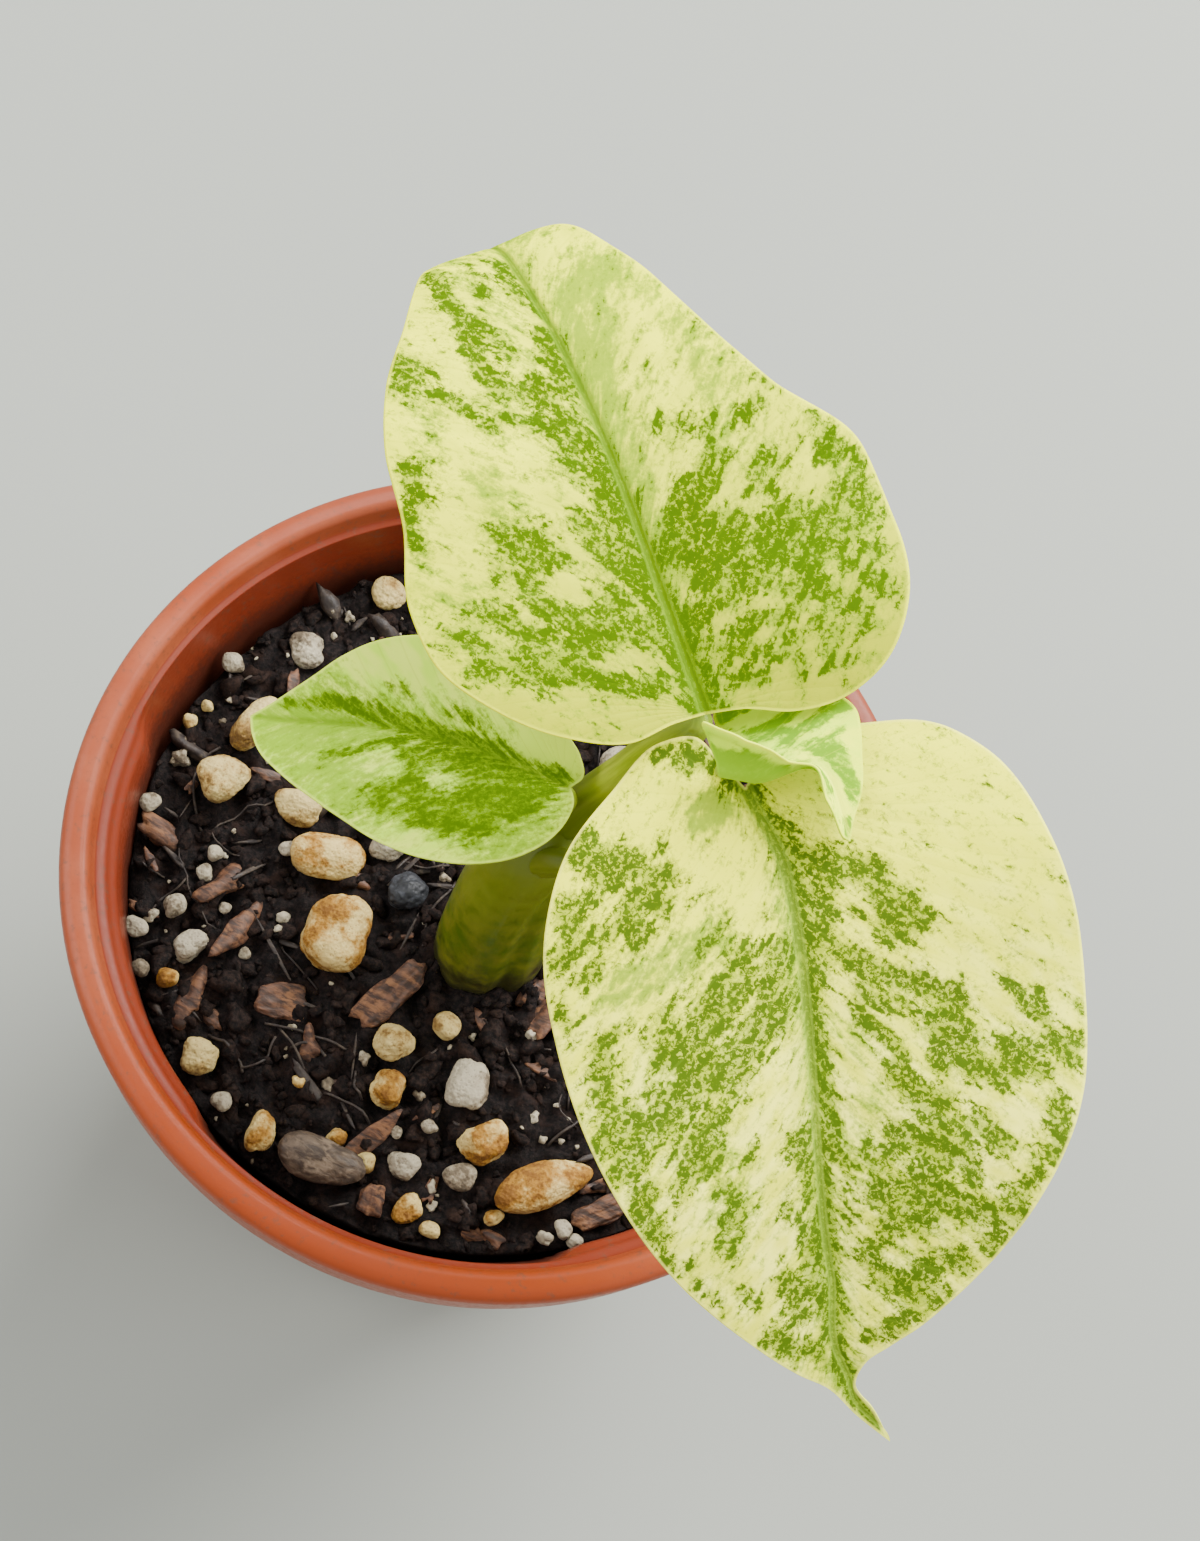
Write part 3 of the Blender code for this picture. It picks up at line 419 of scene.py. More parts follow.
LOWER["green"] = (
    (.9, .7, -.2, 0, -1.3, 4, -1.8, 8, -1.5, 14, -.8, 20, -.3, 26, .3, 32),
    (.85, 1.1, -1.5, 3.5, -2.2, 6, -4, 7.3, -6, 8.3, -9, 9.5), (.8, .8, -4, 10, -5.5, 9),
    (.75, 1.3, -3.5, 12, -2.2, 14), (.6, 1, -3.5, 14, -2, 17),
    (.85, 1.3, -10.5, 13, -9, 12, -10.8, 14.2, -9, 14.2, -9, 11.3), (.5, .6, -6.5, 12.5, -6, 12.2),
    (.7, .8, -4, 10.5, -3, 11), (.85, .9, -4.5, 15.5, -7, 18, -9.5, 19, -11, 20),
    (.65, 1, -6, 18.5, -5, 20, -8, 20.5), (.8, .7, -13, 20.5, -11, 20.3),
    (.85, 1.2, -12.5, 22, -11, 23, -11.5, 25, -10.5, 26, -13, 24.5), (1.1, .6, -5, 21.5, -6, 22.5, -7, 24, -7.3, 25),
    (1.1, .8, -6.5, 26, -7.5, 28, -8.5, 28.5),
    (.85, .9, -12, 25.5, -13.5, 27.5, -15.5, 28.5, -17.5, 27.5, -18.5, 28.5), (.8, .8, -16, 26, -18, 26.5),
    (.8, .8, -20, 26.3, -21.5, 28, -22.3, 27), (.8, .4, -20, 26, -20, 24, -19.7, 22),
    (.75, .4, -19.5, 24.5, -18.3, 23, -18, 21.5, -17.3, 20.5), (.6, .4, -23, 24.5, -22.8, 23.8),
    (.9, .9, -19.3, 31.5, -19, 33.5, -18.2, 35), (.7, .5, -16.5, 35.5, -16.5, 36.5, -14.8, 37.5),
    (.85, .8, -14, 33.5, -13, 32.5, -12.2, 31.5), (.8, .7, -11, 31.5, -10.8, 34, -11, 36),
    (.85, 1, -9.5, 31.5, -8.5, 29.5, -10, 29), (.85, 1, -9, 34, -7, 32, -5.5, 31),
    (.8, 1.4, -7, 35.5, -5, 36, -3, 35.5), (.7, 1.1, -4, 32.5, -2.5, 32.5), (.75, 1.6, -8, 37, -6, 38.5, -4, 38.5),
    (.75, 1.3, -10, 38.5, -12, 39, -14, 38.5, -14, 40.5), (.75, 1, -11.5, 41.5, -12.5, 42.5), (.7, 1, -8, 42, -9, 43),
    (.8, 1.4, -6, 43, -5, 44.5, -3, 43.5), (.8, 1, -1.5, 41.5, -1.2, 40.5), (.7, 1.1, -7, 45.5, -4, 46),
    (.6, .9, -3, 47.5, -.5, 48), (.5, .8, -1, 33, -.5, 36, 0, 38), (.85, 1.2, 1, 14, 2, 16.5, 3, 18.5, 4.5, 20),
    (.7, .8, .6, 17, 2, 20, 3, 20.5), (.8, 1.5, 4, 14, 5, 16, 6.5, 16.5, 8, 17.5),
    (.9, .45, 4.8, 11, 5.8, 11.4, 7, 12.3), (.85, 1.5, 4, 20, 6, 21.5, 8, 22, 10, 22.5, 12, 24, 14, 25.5),
    (.75, 1.3, 7, 18.5, 9.5, 19, 9, 20.5, 12, 20.5), (.55, 1, 11, 17, 13, 19, 12, 17.5),
    (.6, .9, 5.5, 23, 8, 24, 7, 25), (.8, 1.1, 9, 26.5, 10.5, 27.5, 11.5, 28, 10.5, 30),
    (.6, .4, 6.5, 29.5, 7.5, 30.3), (.6, 1, 13, 26.5, 12.5, 30, 13.5, 31), (.65, .9, 10, 32, 9.3, 34, 9.5, 36),
    (.9, 1.5, 17, 24.5, 17, 27.5, 18, 26), (.8, .9, 17.3, 19, 17.8, 21.5, 18, 23), (.8, .6, 15.5, 17.3, 16.5, 18),
    (.8, 1, 16.5, 31, 17, 33, 16.5, 35), (.6, .7, 16, 37, 15.8, 38), (.7, .9, 18.5, 29, 17.5, 29),
    (.5, .8, 10.5, 38, 11, 36), (.5, .6, 14, 38, 13.5, 40), (.5, .5, 12, 42, 13, 41), (.6, .6, 9, 43, 10, 41.5),
    (.8, 1, 8, 46.5, 7, 47.5), (.8, .8, 5.5, 45, 5.5, 43, 6, 41.5), (.75, .8, 4, 43, 3.8, 40.5, 3.5, 38.5),
    (.6, .7, 4, 37, 4.8, 35.5), (.8, .9, .8, 29, 1.5, 33, 2, 38, 2.5, 43, 2.8, 48),
    (.85, .9, 2.5, 32, 3, 30.5, 2, 29.7), (.6, .8, 3, 35, 2.5, 33.5), (.85, .8, 8.5, 5.5, 10, 5.5, 10.5, 7, 9.5, 8),
    (.6, .5, 8.8, 3.5, 8.5, 3), (.85, 1.2, 11, 4, 13, 3.5, 14, 2.5, 13.5, 4.5), (.75, 1.1, 11.5, 7, 13, 8.5, 12, 9.5),
    (.7, 1.1, 14.5, 9, 16, 9.5, 18, 9.5, 19, 10.5, 17, 8), (.6, .9, 17, 6, 18, 7), (.7, .5, 15.5, 5.8, 15.2, 6.2),
    (.7, .7, 15.8, 2.2, 15.3, 1.5), (.9, .5, 14, .4, 15, .9), (.6, 1, 16, 11.5, 17.5, 12.5),
    (.5, .5, 19.5, 16.5, 19.8, 13), (.5, .7, 12, 11, 14, 11), (.7, .7, .5, 0, 1.2, -1, 2, -2.5),
    (.8, .7, 3, -3, 4.5, -2.8, 3.5, -4.5, 5, -3.5), (.7, .4, 5.5, -4.8, 6.8, -4.3),
    (1, .6, 2.4, 44, 2.9, 48, 2.4, 51, 1.8, 53.2), (.9, .5, 1.7, 53.5, 1, 55.2, .2, 57.4), (.8, .7, 5, 48, 3.6, 50),
)
LOWER["haze"] = (
    (1, 1.3, 2.5, 1.5, 4.5, 1.5, 3.5, .8), (.8, 1.8, 6, 11.5, 9, 12.5, 12, 13.5, 15, 14), (.4, 2, 5, 13.5, 8, 15),
    (.6, 2, 10, 30, 9.5, 33, 10, 36), (.7, 1.6, 2, 35, 2.5, 40, 2.5, 46), (.6, 1.5, -4, 28, -1.5, 30, -2.5, 34),
    (.5, 1.3, -3.5, 24, -4, 22.5, -2.5, 21), (.5, .9, -9.5, 23.5, -11, 22), (.75, 1.1, -1, 8, -.3, 16, 0, 22, .3, 28),
    (.35, 3, -6, 34, -7, 38, -4, 42), (.3, 2.5, 13, 22, 16, 26, 12, 26), (.3, 2, 12, 40, 14, 42),
    (.5, 2, 8, 48, 5, 49), (.9, 1.5, 3, 50, 1.5, 53, 0, 57),
)
LEFT["green"] = (
    (1, 2.2, -3, 4, -4.5, 6, -6.5, 8.5, -7, 10.5), (1, 1.6, -1.5, 3, -1.3, 6, -1.5, 10, -2, 13),
    (1, 1.8, -3.5, 8.5, -5, 10), (.9, 1.6, -6, 12.5, -5.5, 14, -7, 15.5), (.8, 1.4, -4, 13.5, -2.5, 14.5),
    (.6, 1.2, -8.5, 12.5, -8.5, 14.5), (.9, .5, -1, 16, -2.5, 18.5, -3.8, 20.5, -4.5, 22),
    (.95, .8, .8, 1, 1.3, 4, 1.2, 8, 1.2, 13, 1.3, 18, 1.6, 21), (.8, .5, 1.5, 22, 1, 25, .6, 27.5),
    (.7, 1, 4, 17, 4.8, 18), (.5, .9, 3.5, 12, 2.8, 9),
)
LEFT["haze"] = (
    (1, 5.5, -5, 5, -7, 12, -5, 20, -2, 26), (.6, 3, 3, 6, 3.5, 12, 3, 20, 2, 24),
)
LEFT["pale"] = (
    (.7, 1.1, -3.8, 11, -4, 10.5), (.6, 1.6, -4.2, 17.5, -4, 17), (1, 1.8, 3.2, 3.8, 3.6, 2),
    (1, 1.4, 5.8, 20, 6.8, 17, 7, 15), (1, 1.9, 6.5, 7, 8.5, 12), (.6, .9, -11, 8, -11, 14),
)
NEW["green"] = (
    (1, 1, -5.6, -4, -6.5, -3, -7.5, -1.8), (.9, .8, -4.6, 1.2, -5.8, 2.6, -7.2, 3.8),
    (1, 1.1, -5.2, 4.7, -6.8, 6.2, -9.3, 7.3), (.8, .45, -4.5, 5.8, -5.4, 6.9, -7.3, 8.2),
    (1, 1, -3.6, 6.5, -4.4, 8.2, -4.2, 9.6, -3.6, 11.2), (.5, .5, -2.3, 7.6, -1.7, 9.4),
    (.6, .5, -.8, 12.2, .3, 13.4), (1, 1.6, 1.8, .8, 2.4, 2.4, 1.2, 4.2), (1, 1, .4, 1, .4, 3.8, -.6, 5.2),
)
NEW["haze"] = (
    (.8, 1.4, -4, 3, -6, 6, -6, 7.5), (.5, 1.2, -3, 8, -2, 12), (1, 2.5, 1, 1, 1.5, 3),
)
NEW["pale"] = (
    (1, .6, 5.7, .4, 5.1, 1.6, 4.8, 2.8, 3.9, 3.7, 2.4, 4.6, .8, 5.5, -.6, 6.3),
    (.9, .8, -8.6, 8.9, -7, 10.1, -5, 11.6), (1, .35, -3.2, 5.9, -3.5, 7.7, -2.8, 9.8, -1.2, 11.6),
    (.9, .6, 3.6, 1, 3.4, 2.4), (.8, .6, -6.2, -1, -7.6, 1), (.7, .5, -6, 4.2, -8, 5.4),
    (.9, .4, -5, 5.5, -6, 6.8, -8.2, 7.9),
)

# What is kept at each point of a blade for its look
LEAF_FIELDS = ("green", "haze", "pale", "edge", "under", "row", "reach", "far")


def bend(leaf, u, v, side):
    """Places (millimetres, in the pot's frame) of flat points on one half of a leaf."""
    steps = np.arange(-30, 90, 0.25)
    slope = np.radians(ease(leaf["pitch"], steps))
    runs = [np.cumsum(wave(slope)) * 0.25 for wave in (np.cos, np.sin)]
    along, up = (np.interp(v, steps, run) - np.interp(0, steps, run) for run in runs)
    slope = np.interp(v, steps, slope)
    sway = ease(leaf["sway"], v)
    reach = side * (u - sway)
    half = 0 if side > 0 else 1
    fold = np.radians(ease(leaf["fold"][half], v) + side * leaf["bank"])
    curl = math.radians(leaf["curl"])
    out = (np.sin(fold + curl * reach) - np.sin(fold)) / curl
    lift = (np.cos(fold) - np.cos(fold + curl * reach)) / curl
    height, length, phase = leaf["wave"]
    lift = lift + height * (reach / 20) ** 2 * np.sin(TURN * v / length + phase + 0.8 * side)
    heading = math.radians(leaf["heading"])
    forward = np.array((math.cos(heading), math.sin(heading), 0))
    right = np.array((math.sin(heading), -math.cos(heading), 0))
    upward = np.array((0, 0, 1))
    normal = np.cos(slope)[..., None] * upward - np.sin(slope)[..., None] * forward
    place = np.array(leaf["at"]) + (0, 0, POT_HEIGHT) + along[..., None] * forward + up[..., None] * upward
    return place + (sway + side * out)[..., None] * right + lift[..., None] * normal


def near_line(line, u, v):
    """Distance of flat points from a line of straight stretches."""
    nearest = np.full(u.shape, 1e9)
    for (au, av), (bu, bv) in zip(line[:-1], line[1:]):
        du, dv = bu - au, bv - av
        t = np.clip(((u - au) * du + (v - av) * dv) / (du * du + dv * dv), 0, 1)
        nearest = np.minimum(nearest, np.hypot(u - au - t * du, v - av - t * dv))
    return nearest


def painted(strokes, u, v):
    """How strongly the strokes cover each flat point."""
    cover = np.zeros(u.shape)
    for strength, radius, *line in strokes:
        away = near_line(np.reshape(line, (-1, 2)), u, v)
        cover = np.maximum(cover, strength / (1 + (away / (1.1 * radius + 0.08)) ** 3.5))
    return cover


def blade_rows(leaf, rows, across):
    """Flat (u, v) grids of both halves, whose rows are the side veins that curve out from the midrib."""
    edges = [even_line(leaf[half], rows) for half in ("right", "left")]
    tip = edges[0][-1, 1]
    starts = [edge[:, 1] - VEIN_LEAN * abs(edge[:, 0] - ease(leaf["sway"], edge[:, 1])) for edge in edges]
    start = np.maximum.accumulate(np.clip((starts[0] + starts[1]) / 2, 0, tip))
    start[-1] = tip
    midrib = np.stack([ease(leaf["sway"], start), start], axis=1)
    midrib[-1] = edges[0][-1]
    grids = []
    share = np.asarray(across)[None, :, None]
    for edge in edges:
        length = np.linalg.norm(edge - midrib, axis=1)
        turn = midrib + 0.4 * (edge - midrib) + np.stack([0 * length, 0.12 * length], axis=1)
        grids.append(
            midrib[:, None] * (1 - share) ** 2 + 2 * turn[:, None] * share * (1 - share) + edge[:, None] * share ** 2
        )
    return grids, edges


def make_leaf(name, leaf, rows, columns, thickness, material):
    """A fine closed blade with a groove over the midrib, a rib under it and sunken side veins."""
    across = np.concatenate([(0, 0.012, 0.028, 0.05, 0.08), np.linspace(0.115, 0.95, columns), (0.975, 0.992, 1)])
    n = len(across)
    grids, edges = blade_rows(leaf, rows, across)
    margin = np.concatenate([edges[0], edges[1][-2:0:-1]])
    tip = edges[0][-1, 1]
    row = np.arange(rows)[:, None] * np.ones(n)
    h = 0.05  # a short way over the flat leaf, to find how the blade lies
    halves = []
    for side, grid in zip((1, -1), grids):
        u, v = grid[..., 0], grid[..., 1]
        middle = bend(leaf, u, v, side)
        width = side * (bend(leaf, u + side * h, v, side) - middle)
        length = bend(leaf, u, v + h, side) - middle
        halves.append([u, v, middle, abs(u - ease(leaf["sway"], v)), unit(np.cross(width, length))])
    shared = unit(halves[0][-1][:, 0] + halves[1][-1][:, 0])
    points, faces, flat, veins = [], [], [], []
    attributes = {key: [] for key in LEAF_FIELDS}
    for u, v, middle, reach, normal in halves:
        weight = np.exp(-((reach / 0.5) ** 2))[..., None]
        normal = unit(normal * (1 - weight) + shared[:, None] * weight)
        taper = np.sqrt(np.clip(1 - v / tip, 0.02, 1))
        rim = near_line(margin, u, v)
        rim[:, -1] = 0
        plump = thickness * (0.42 + 0.58 * np.clip(rim / (6 * thickness), 0, 1) ** 0.6)
        vein = np.abs(np.sin(np.pi * row / ROWS_TO_A_VEIN))
        swell = np.sin(np.pi * np.clip(across, 0, 1))[None, :] ** 0.6 * np.clip(reach / 3, 0, 1)
        puff = 0.035 * thickness / 0.42 * (vein ** 0.6 - 0.6) * swell
        quilt = 0.05 * np.sin(1.1 * u + 0.4 * v) * np.sin(0.9 * v - 0.3 * u + 1) * np.clip(reach, 0, 1)
        groove = 0.34 * thickness * np.exp(-((reach / 0.42) ** 2)) * taper
        rib = 1.25 * thickness * np.exp(-((reach / 0.62) ** 2)) * taper
        sheared = v - VEIN_LEAN * reach - 2.6 * (1 - np.exp(-np.maximum(reach, 0) / 1.5))
        fields = {key: painted(leaf.get(key, ()), u, v) for key in ("green", "haze", "pale")}
        fields.update(edge=rim, row=row, reach=reach, far=v / tip)
        for under, offset in enumerate((plump / 2 - groove + puff + quilt, -plump / 2 - rib + 0.5 * puff + quilt)):
            first = sum(len(p) for p in points)
            points.append((middle + offset[..., None] * normal).reshape(-1, 3))
            for i in range(rows - 1):
                for j in range(n - 1):
                    a = first + i * n + j
                    faces.append((a, a + 1, a + n + 1, a + n))
            fields["under"] = np.full(u.shape, float(under))
            for key in LEAF_FIELDS:
                attributes[key].append(fields[key].ravel())
            flat.append(np.stack([u, v], axis=2).reshape(-1, 2) * UV_SCALE)
            veins.append(np.stack([u, sheared], axis=2).reshape(-1, 2) * UV_SCALE)
        for i in range(rows - 1):
            a = first - rows * n + i * n + n - 1
            faces.append((a, a + n, a + n + rows * n, a + rows * n))
    attributes = {key: np.concatenate(values) for key, values in attributes.items()}
    maps = {"flat": np.concatenate(flat), "veins": np.concatenate(veins)}
    blade = piece(name, np.concatenate(points), faces, material, attributes, maps)
    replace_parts(blade, name.replace("blade", "leaf"))


def leaf_look(name, seed, tones, belly=0.3, crisp=1.0, full=1.0, spine=0.5, dense=0.6, speck=4.6, gloss=0.0):
    """Cream blade with lacy green speckle, soft green haze, fine side veins, a pale margin and painted shade towards
    the stalk.

    belly and spine are how green the underside and the midrib are, full, dense, speck and crisp the
    speckle's strength, cover, grain and sharpness.
    """
    look = Look(
        name, Roughness=0.5, Subsurface_Weight=0.15, Subsurface_Radius=(1.0, 1.0, 0.2),
        Subsurface_Scale=0.0008, Specular_IOR_Level=gloss,
    )
    stalk_shade_cream, cream, warm, light, deep, haze_colour, rib, back = tones
    green, haze, pale, edge, under, row, reach, far = (look.value(key) for key in LEAF_FIELDS)
    flat = look.flat("flat")
    veins = look.node("VectorMath", {0: look.flat("veins"), 1: (seed, 2 * seed, seed)}, operation="ADD")
    lean = look.scaled(veins, (0.85, 1.1, 1))
    broad = look.noise(lean, 0.32, 2, 0.5) - 0.5
    patch = look.noise(lean, 0.8, 3, 0.6, 0.3) - 0.5
    lace = look.noise(flat, 2.1, 5, 0.74, 0.5) - 0.5
    density = (green - pale * 0.9) * full + broad * 0.6 + patch * 1.5
    spread = look.step(density, 0.0, 0.75, -0.1, dense) + lace * speck + patch * 1.7
    flecks = look.step(spread, 0.5 - 0.1 / crisp, 0.5 + 0.1 / crisp) * look.step(density, 0.1, 0.38)
    halo = look.step(density + lace * 1.6, -0.04, 0.55)
    soft = look.step(haze - pale * 0.9 + patch * 2.4 + lace * 1.4, 0.08, 0.95)
    look.base = look.mix(look.step(look.noise(lean, 0.5, 2, 0.5), 0.35, 0.65), cream, warm)
    # Painted shade: the cream turns darker towards the stalk, and yellower on the lower blade where light shines
    # through.
    look.coat(look.fade(far + broad * 0.3, 0.0, 0.55), stalk_shade_cream)
    look.coat(look.fade(reach, 0.3, 3.0) * 0.3, rib)
    look.coat(soft * 0.85, haze_colour)
    look.coat(halo * 0.72, light)
    shade = look.step(density + lace * 2.0 + patch * 2.4, 0.15, 0.95)
    look.coat(flecks * 0.96, look.mix(shade, look.mix(0.5, light, deep), deep))
    along = reach * (far * 1.4 + 1.0)
    lines = look.step(look.math("SINE", along * 8.0 + lace * 7.0), -0.45, 0.35)
    look.coat(look.fade(along, 0.3, 1.3) * spine, look.mix(lines, rib, look.mix(0.85, light, deep)))
    threads = look.math("ABSOLUTE", look.math("SINE", row * (math.pi / ROWS_TO_A_VEIN)))
    look.coat(look.fade(threads, 0.02, 0.2) * 0.12, rib)
    look.coat(look.fade(reach, 0.12, 0.5) * 0.3, rib)
    look.coat(look.fade(edge, 0.08, 0.34) * 0.6, cream)
    look.coat((1.0 - pale) * (under * belly), back)
    skin = look.noise(flat, 2.2, 3, 0.6) + lace * 0.6
    return look.done(skin, 0.3, 0.05, look.noise(lean, 0.9, 2, 0.5), 0.42, 0.56)


# Painted shade on the cream near the stalk, cream, warm cream, light and deep green, haze, rib, underside
UPPER_TONES = (
    (0.44, 0.48, 0.0), (0.88, 0.91, 0.001), (0.74, 0.79, 0.0), (0.17, 0.285, 0.001), (0.044, 0.10, 0.001),
    (0.20, 0.33, 0.003), (0.135, 0.235, 0.003), (0.82, 0.83, 0.01),
)
LOWER_TONES = (
    (0.94, 0.96, 0.004), (0.96, 0.94, 0.12), (0.76, 0.77, 0.03), (0.18, 0.29, 0.003), (0.05, 0.10, 0.003),
    (0.22, 0.36, 0.010), (0.25, 0.37, 0.02), (0.82, 0.82, 0.06),
)
LEFT_TONES = (
    (0.72, 0.96, 0.06), (0.80, 1.0, 0.10), (0.62, 0.95, 0.04), (0.21, 0.38, 0.003), (0.074, 0.155, 0.001),
    (0.27, 0.49, 0.006), (0.14, 0.27, 0.003), (0.44, 0.64, 0.02),
)
NEW_TONES = (
    (0.64, 0.90, 0.0), (0.86, 1.0, 0.0), (0.68, 0.94, 0.0), (0.29, 0.53, 0.0), (0.14, 0.31, 0.0),
    (0.46, 0.74, 0.0), (0.86, 0.94, 0.02), (0.27, 0.50, 0.0),
)


def make_leaves():
    upper = leaf_look("upper blade", 3.1, UPPER_TONES, crisp=0.6, spine=0.85, dense=0.7, speck=4.0)
    lower = leaf_look("lower blade", 17.4, LOWER_TONES, dense=0.65, gloss=0.03)
    left = leaf_look("left blade", 31.7, LEFT_TONES, crisp=0.2, full=0.95, spine=0.2, dense=0.72, speck=2.3)
    new = leaf_look("new blade", 47.2, NEW_TONES, belly=0.85, crisp=0.3, full=1.1, spine=0.1, dense=0.85, speck=2.0)
    make_leaf("blade_upper", UPPER, 241, 27, 0.42, upper)
    make_leaf("blade_lower", LOWER, 241, 27, 0.42, lower)
    make_leaf("blade_left", LEFT, 161, 20, 0.38, left)
    make_leaf("blade_new", NEW, 121, 18, 0.36, new)


# Stem and stalks

# x, y, height over the rim plane, long radius, short radius
STEM_SECTIONS = (
    (2.4, -6.4, -25, 3.6, 3.2), (2.4, -6.4, -20, 4.6, 4.0), (2.4, -6.4, -13, 5.8, 5.0), (2.3, -6.0, -9, 6.0, 5.2),
    (1.9, -5.0, -3, 5.6, 4.9), (1.8, -3.6, 4, 5.2, 4.6), (2.3, -2.6, 9, 4.9, 4.4), (2.9, -2.0, 12.5, 4.6, 4.2),
    (3.2, -1.5, 15.2, 3.9, 3.5), (3.6, -0.9, 17.6, 3.0, 2.8),
)
STEM_TURN = 26.0
STEM_SIDES = 64
# Height of the stem's top over its last section, azimuth of its seam and spacing of its scars
STEM_CROWN = 0.5
SEAM_ANGLE = -78.0
SCAR_SPACING = 9


def make_stem(material):
    """The sheathed stem: oval, with a seam where one sheath wraps over the next and faint ring scars."""
    lines = smooth_line(STEM_SECTIONS, 10)
    turn = math.radians(STEM_TURN)
    x, y, z = lines[0][:3]
    points, around, height = [(x, y, z + POT_HEIGHT)], [(0, 0, z)], [z]
    for x, y, z, long_radius, short_radius in lines:
        scar = (z + SCAR_SPACING / 2) % SCAR_SPACING - SCAR_SPACING / 2
        for angle in circle(STEM_SIDES):
            off = math.remainder(angle - math.radians(SEAM_ANGLE) - 0.02 * (z + 8), TURN)
            factor = 1 - 0.15 * math.exp(-((off / 0.24) ** 2)) - 0.03 * math.exp(-((abs(off) - 0.5) / 0.12) ** 2)
            factor += 0.003 * math.sin(17 * angle + 0.2 * z) - 0.008 * math.exp(-(scar / 0.5) ** 2)
            along = long_radius * factor * math.cos(angle)
            across = short_radius * factor * math.sin(angle)
            points.append((
                x + along * math.cos(turn) - across * math.sin(turn),
                y + along * math.sin(turn) + across * math.cos(turn), z + POT_HEIGHT,
            ))
            around.append((*polar(4, angle), z))
            height.append(z)
    x, y, z = lines[-1][:3]
    points.append((x, y, z + POT_HEIGHT + STEM_CROWN))
    fields = {"skin": around + [(0, 0, z)], "height": height + [z]}
    stem = piece("stem_sheath", points, ring_faces(len(lines), STEM_SIDES), material, fields)
    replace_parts(stem, "stem")


# Stalks from the stem to the blade: x, y, height over the rim plane, radius
STALKS = {
    "petiole_upper": (
        (2.9, -2.0, 9, 2.6), (3.4, -0.5, 15, 2.6), (5.2, 0.8, 22, 2.15), (7.2, 1.6, 30, 1.9), (9.0, 2.2, 38, 1.7),
        (10.6, 2.3, 43.6, 1.35), (10.7, 2.2, 44.9, 0.95), (9.6, 3.2, 45.75, 0.45), (8.6, 4.1, 46.1, 0.3),
    ),
    "petiole_lower": (
        (2.6, -3.4, 6, 1.1), (3.1, -3.8, 12, 1.5), (4.8, -4.7, 17.4, 1.5), (8.2, -5.5, 22.4, 1.4),
        (12.4, -5.0, 30, 1.35), (15.6, -3.3, 37, 1.25), (16.4, -1.9, 40.6, 1.15), (16.6, -1.4, 41.9, 0.85),
        (17.5, -2.3, 42.25, 0.42), (18.4, -3.3, 42.2, 0.3),
    ),
    "petiole_left": (
        (0.2, -2.2, 9, 1.6), (-0.4, -2.4, 15, 1.55), (0.6, -2.6, 19, 1.5), (2.0, -2.4, 23, 1.4),
        (3.0, -1.7, 25.4, 1.2), (2.7, -1.6, 26.4, 0.8), (1.6, -1.7, 26.85, 0.42), (0.6, -1.8, 26.95, 0.3),
    ),
    "petiole_new": (
        (5.4, -1.6, 9, 0.9), (7.0, -1.6, 15, 0.85), (9.6, -0.8, 24, 0.8), (12.6, 0.8, 35, 0.75),
        (14.3, 0.9, 41.5, 0.75), (14.1, -0.6, 43.4, 0.65), (14.6, -1.5, 44.9, 0.38), (15.2, -1.7, 45.6, 0.3),
    ),
}
STALK_SIDES = 28
CHANNEL_ANGLE = 1.9


def make_stalks(material):
    """Slim stalks with a shallow channel on their inner side."""
    for name, route in STALKS.items():
        line = smooth_line(np.array(route) + (0, 0, POT_HEIGHT, 0), 12)
        path, width = line[:, :3], line[:, 3]
        tangents, length = unit(np.gradient(path, axis=0)), run_length(path)
        facing = np.cross(tangents[0], (0.3, 0.9, 0.1))
        points, skin, far = [path[0]], [(0, 0, 0)], [0]
        for place, tangent, radius, run in zip(path, tangents, width, length):
            facing = unit(facing - tangent * (facing @ tangent))
            other = np.cross(tangent, facing)
            for angle in circle(STALK_SIDES):
                off = math.remainder(angle - CHANNEL_ANGLE, TURN)
                r = radius * (1 - 0.12 * math.exp(-((off / 0.35) ** 2)) + 0.012 * math.sin(9 * angle))
                points.append(place + r * (math.cos(angle) * facing + math.sin(angle) * other))
                skin.append((*polar(2, angle), run))
                far.append(run / length[-1])
        points.append(path[-1])
        fields = {"skin": skin + [(0, 0, length[-1])], "far": far + [1]}
        faces = ring_faces(len(path), STALK_SIDES)
        stalk = piece(name.replace("petiole", "stalk"), points, faces, material, fields)
        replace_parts(stalk, name)


def stem_look():
    look = Look("stem skin", Roughness=0.42, Subsurface_Weight=0.12, Subsurface_Radius=(0.8, 1.0, 0.2),
                Subsurface_Scale=0.001)
    skin, height = look.vector("skin"), look.value("height")
    streaks = look.noise(look.scaled(skin, (1.4, 1.4, 0.12)), 1.0, 4, 0.6)
    mottle = look.noise(skin, 0.5, 4, 0.6)
    look.base = look.mix(look.step(mottle, 0.3, 0.7), (0.050, 0.095, 0.001), (0.12, 0.13, 0.002))
    look.coat(look.step(streaks, 0.45, 0.7) * 0.35, (0.13, 0.135, 0.008))
    look.coat(look.step(height + mottle * 8, 2, 15), (0.15, 0.19, 0.003))
    look.coat(look.fade(height + mottle * 12, -4, 2) * 0.85, (0.018, 0.012, 0.005))
    return look.done(streaks, 0.3, 0.12, mottle, 0.36, 0.55)


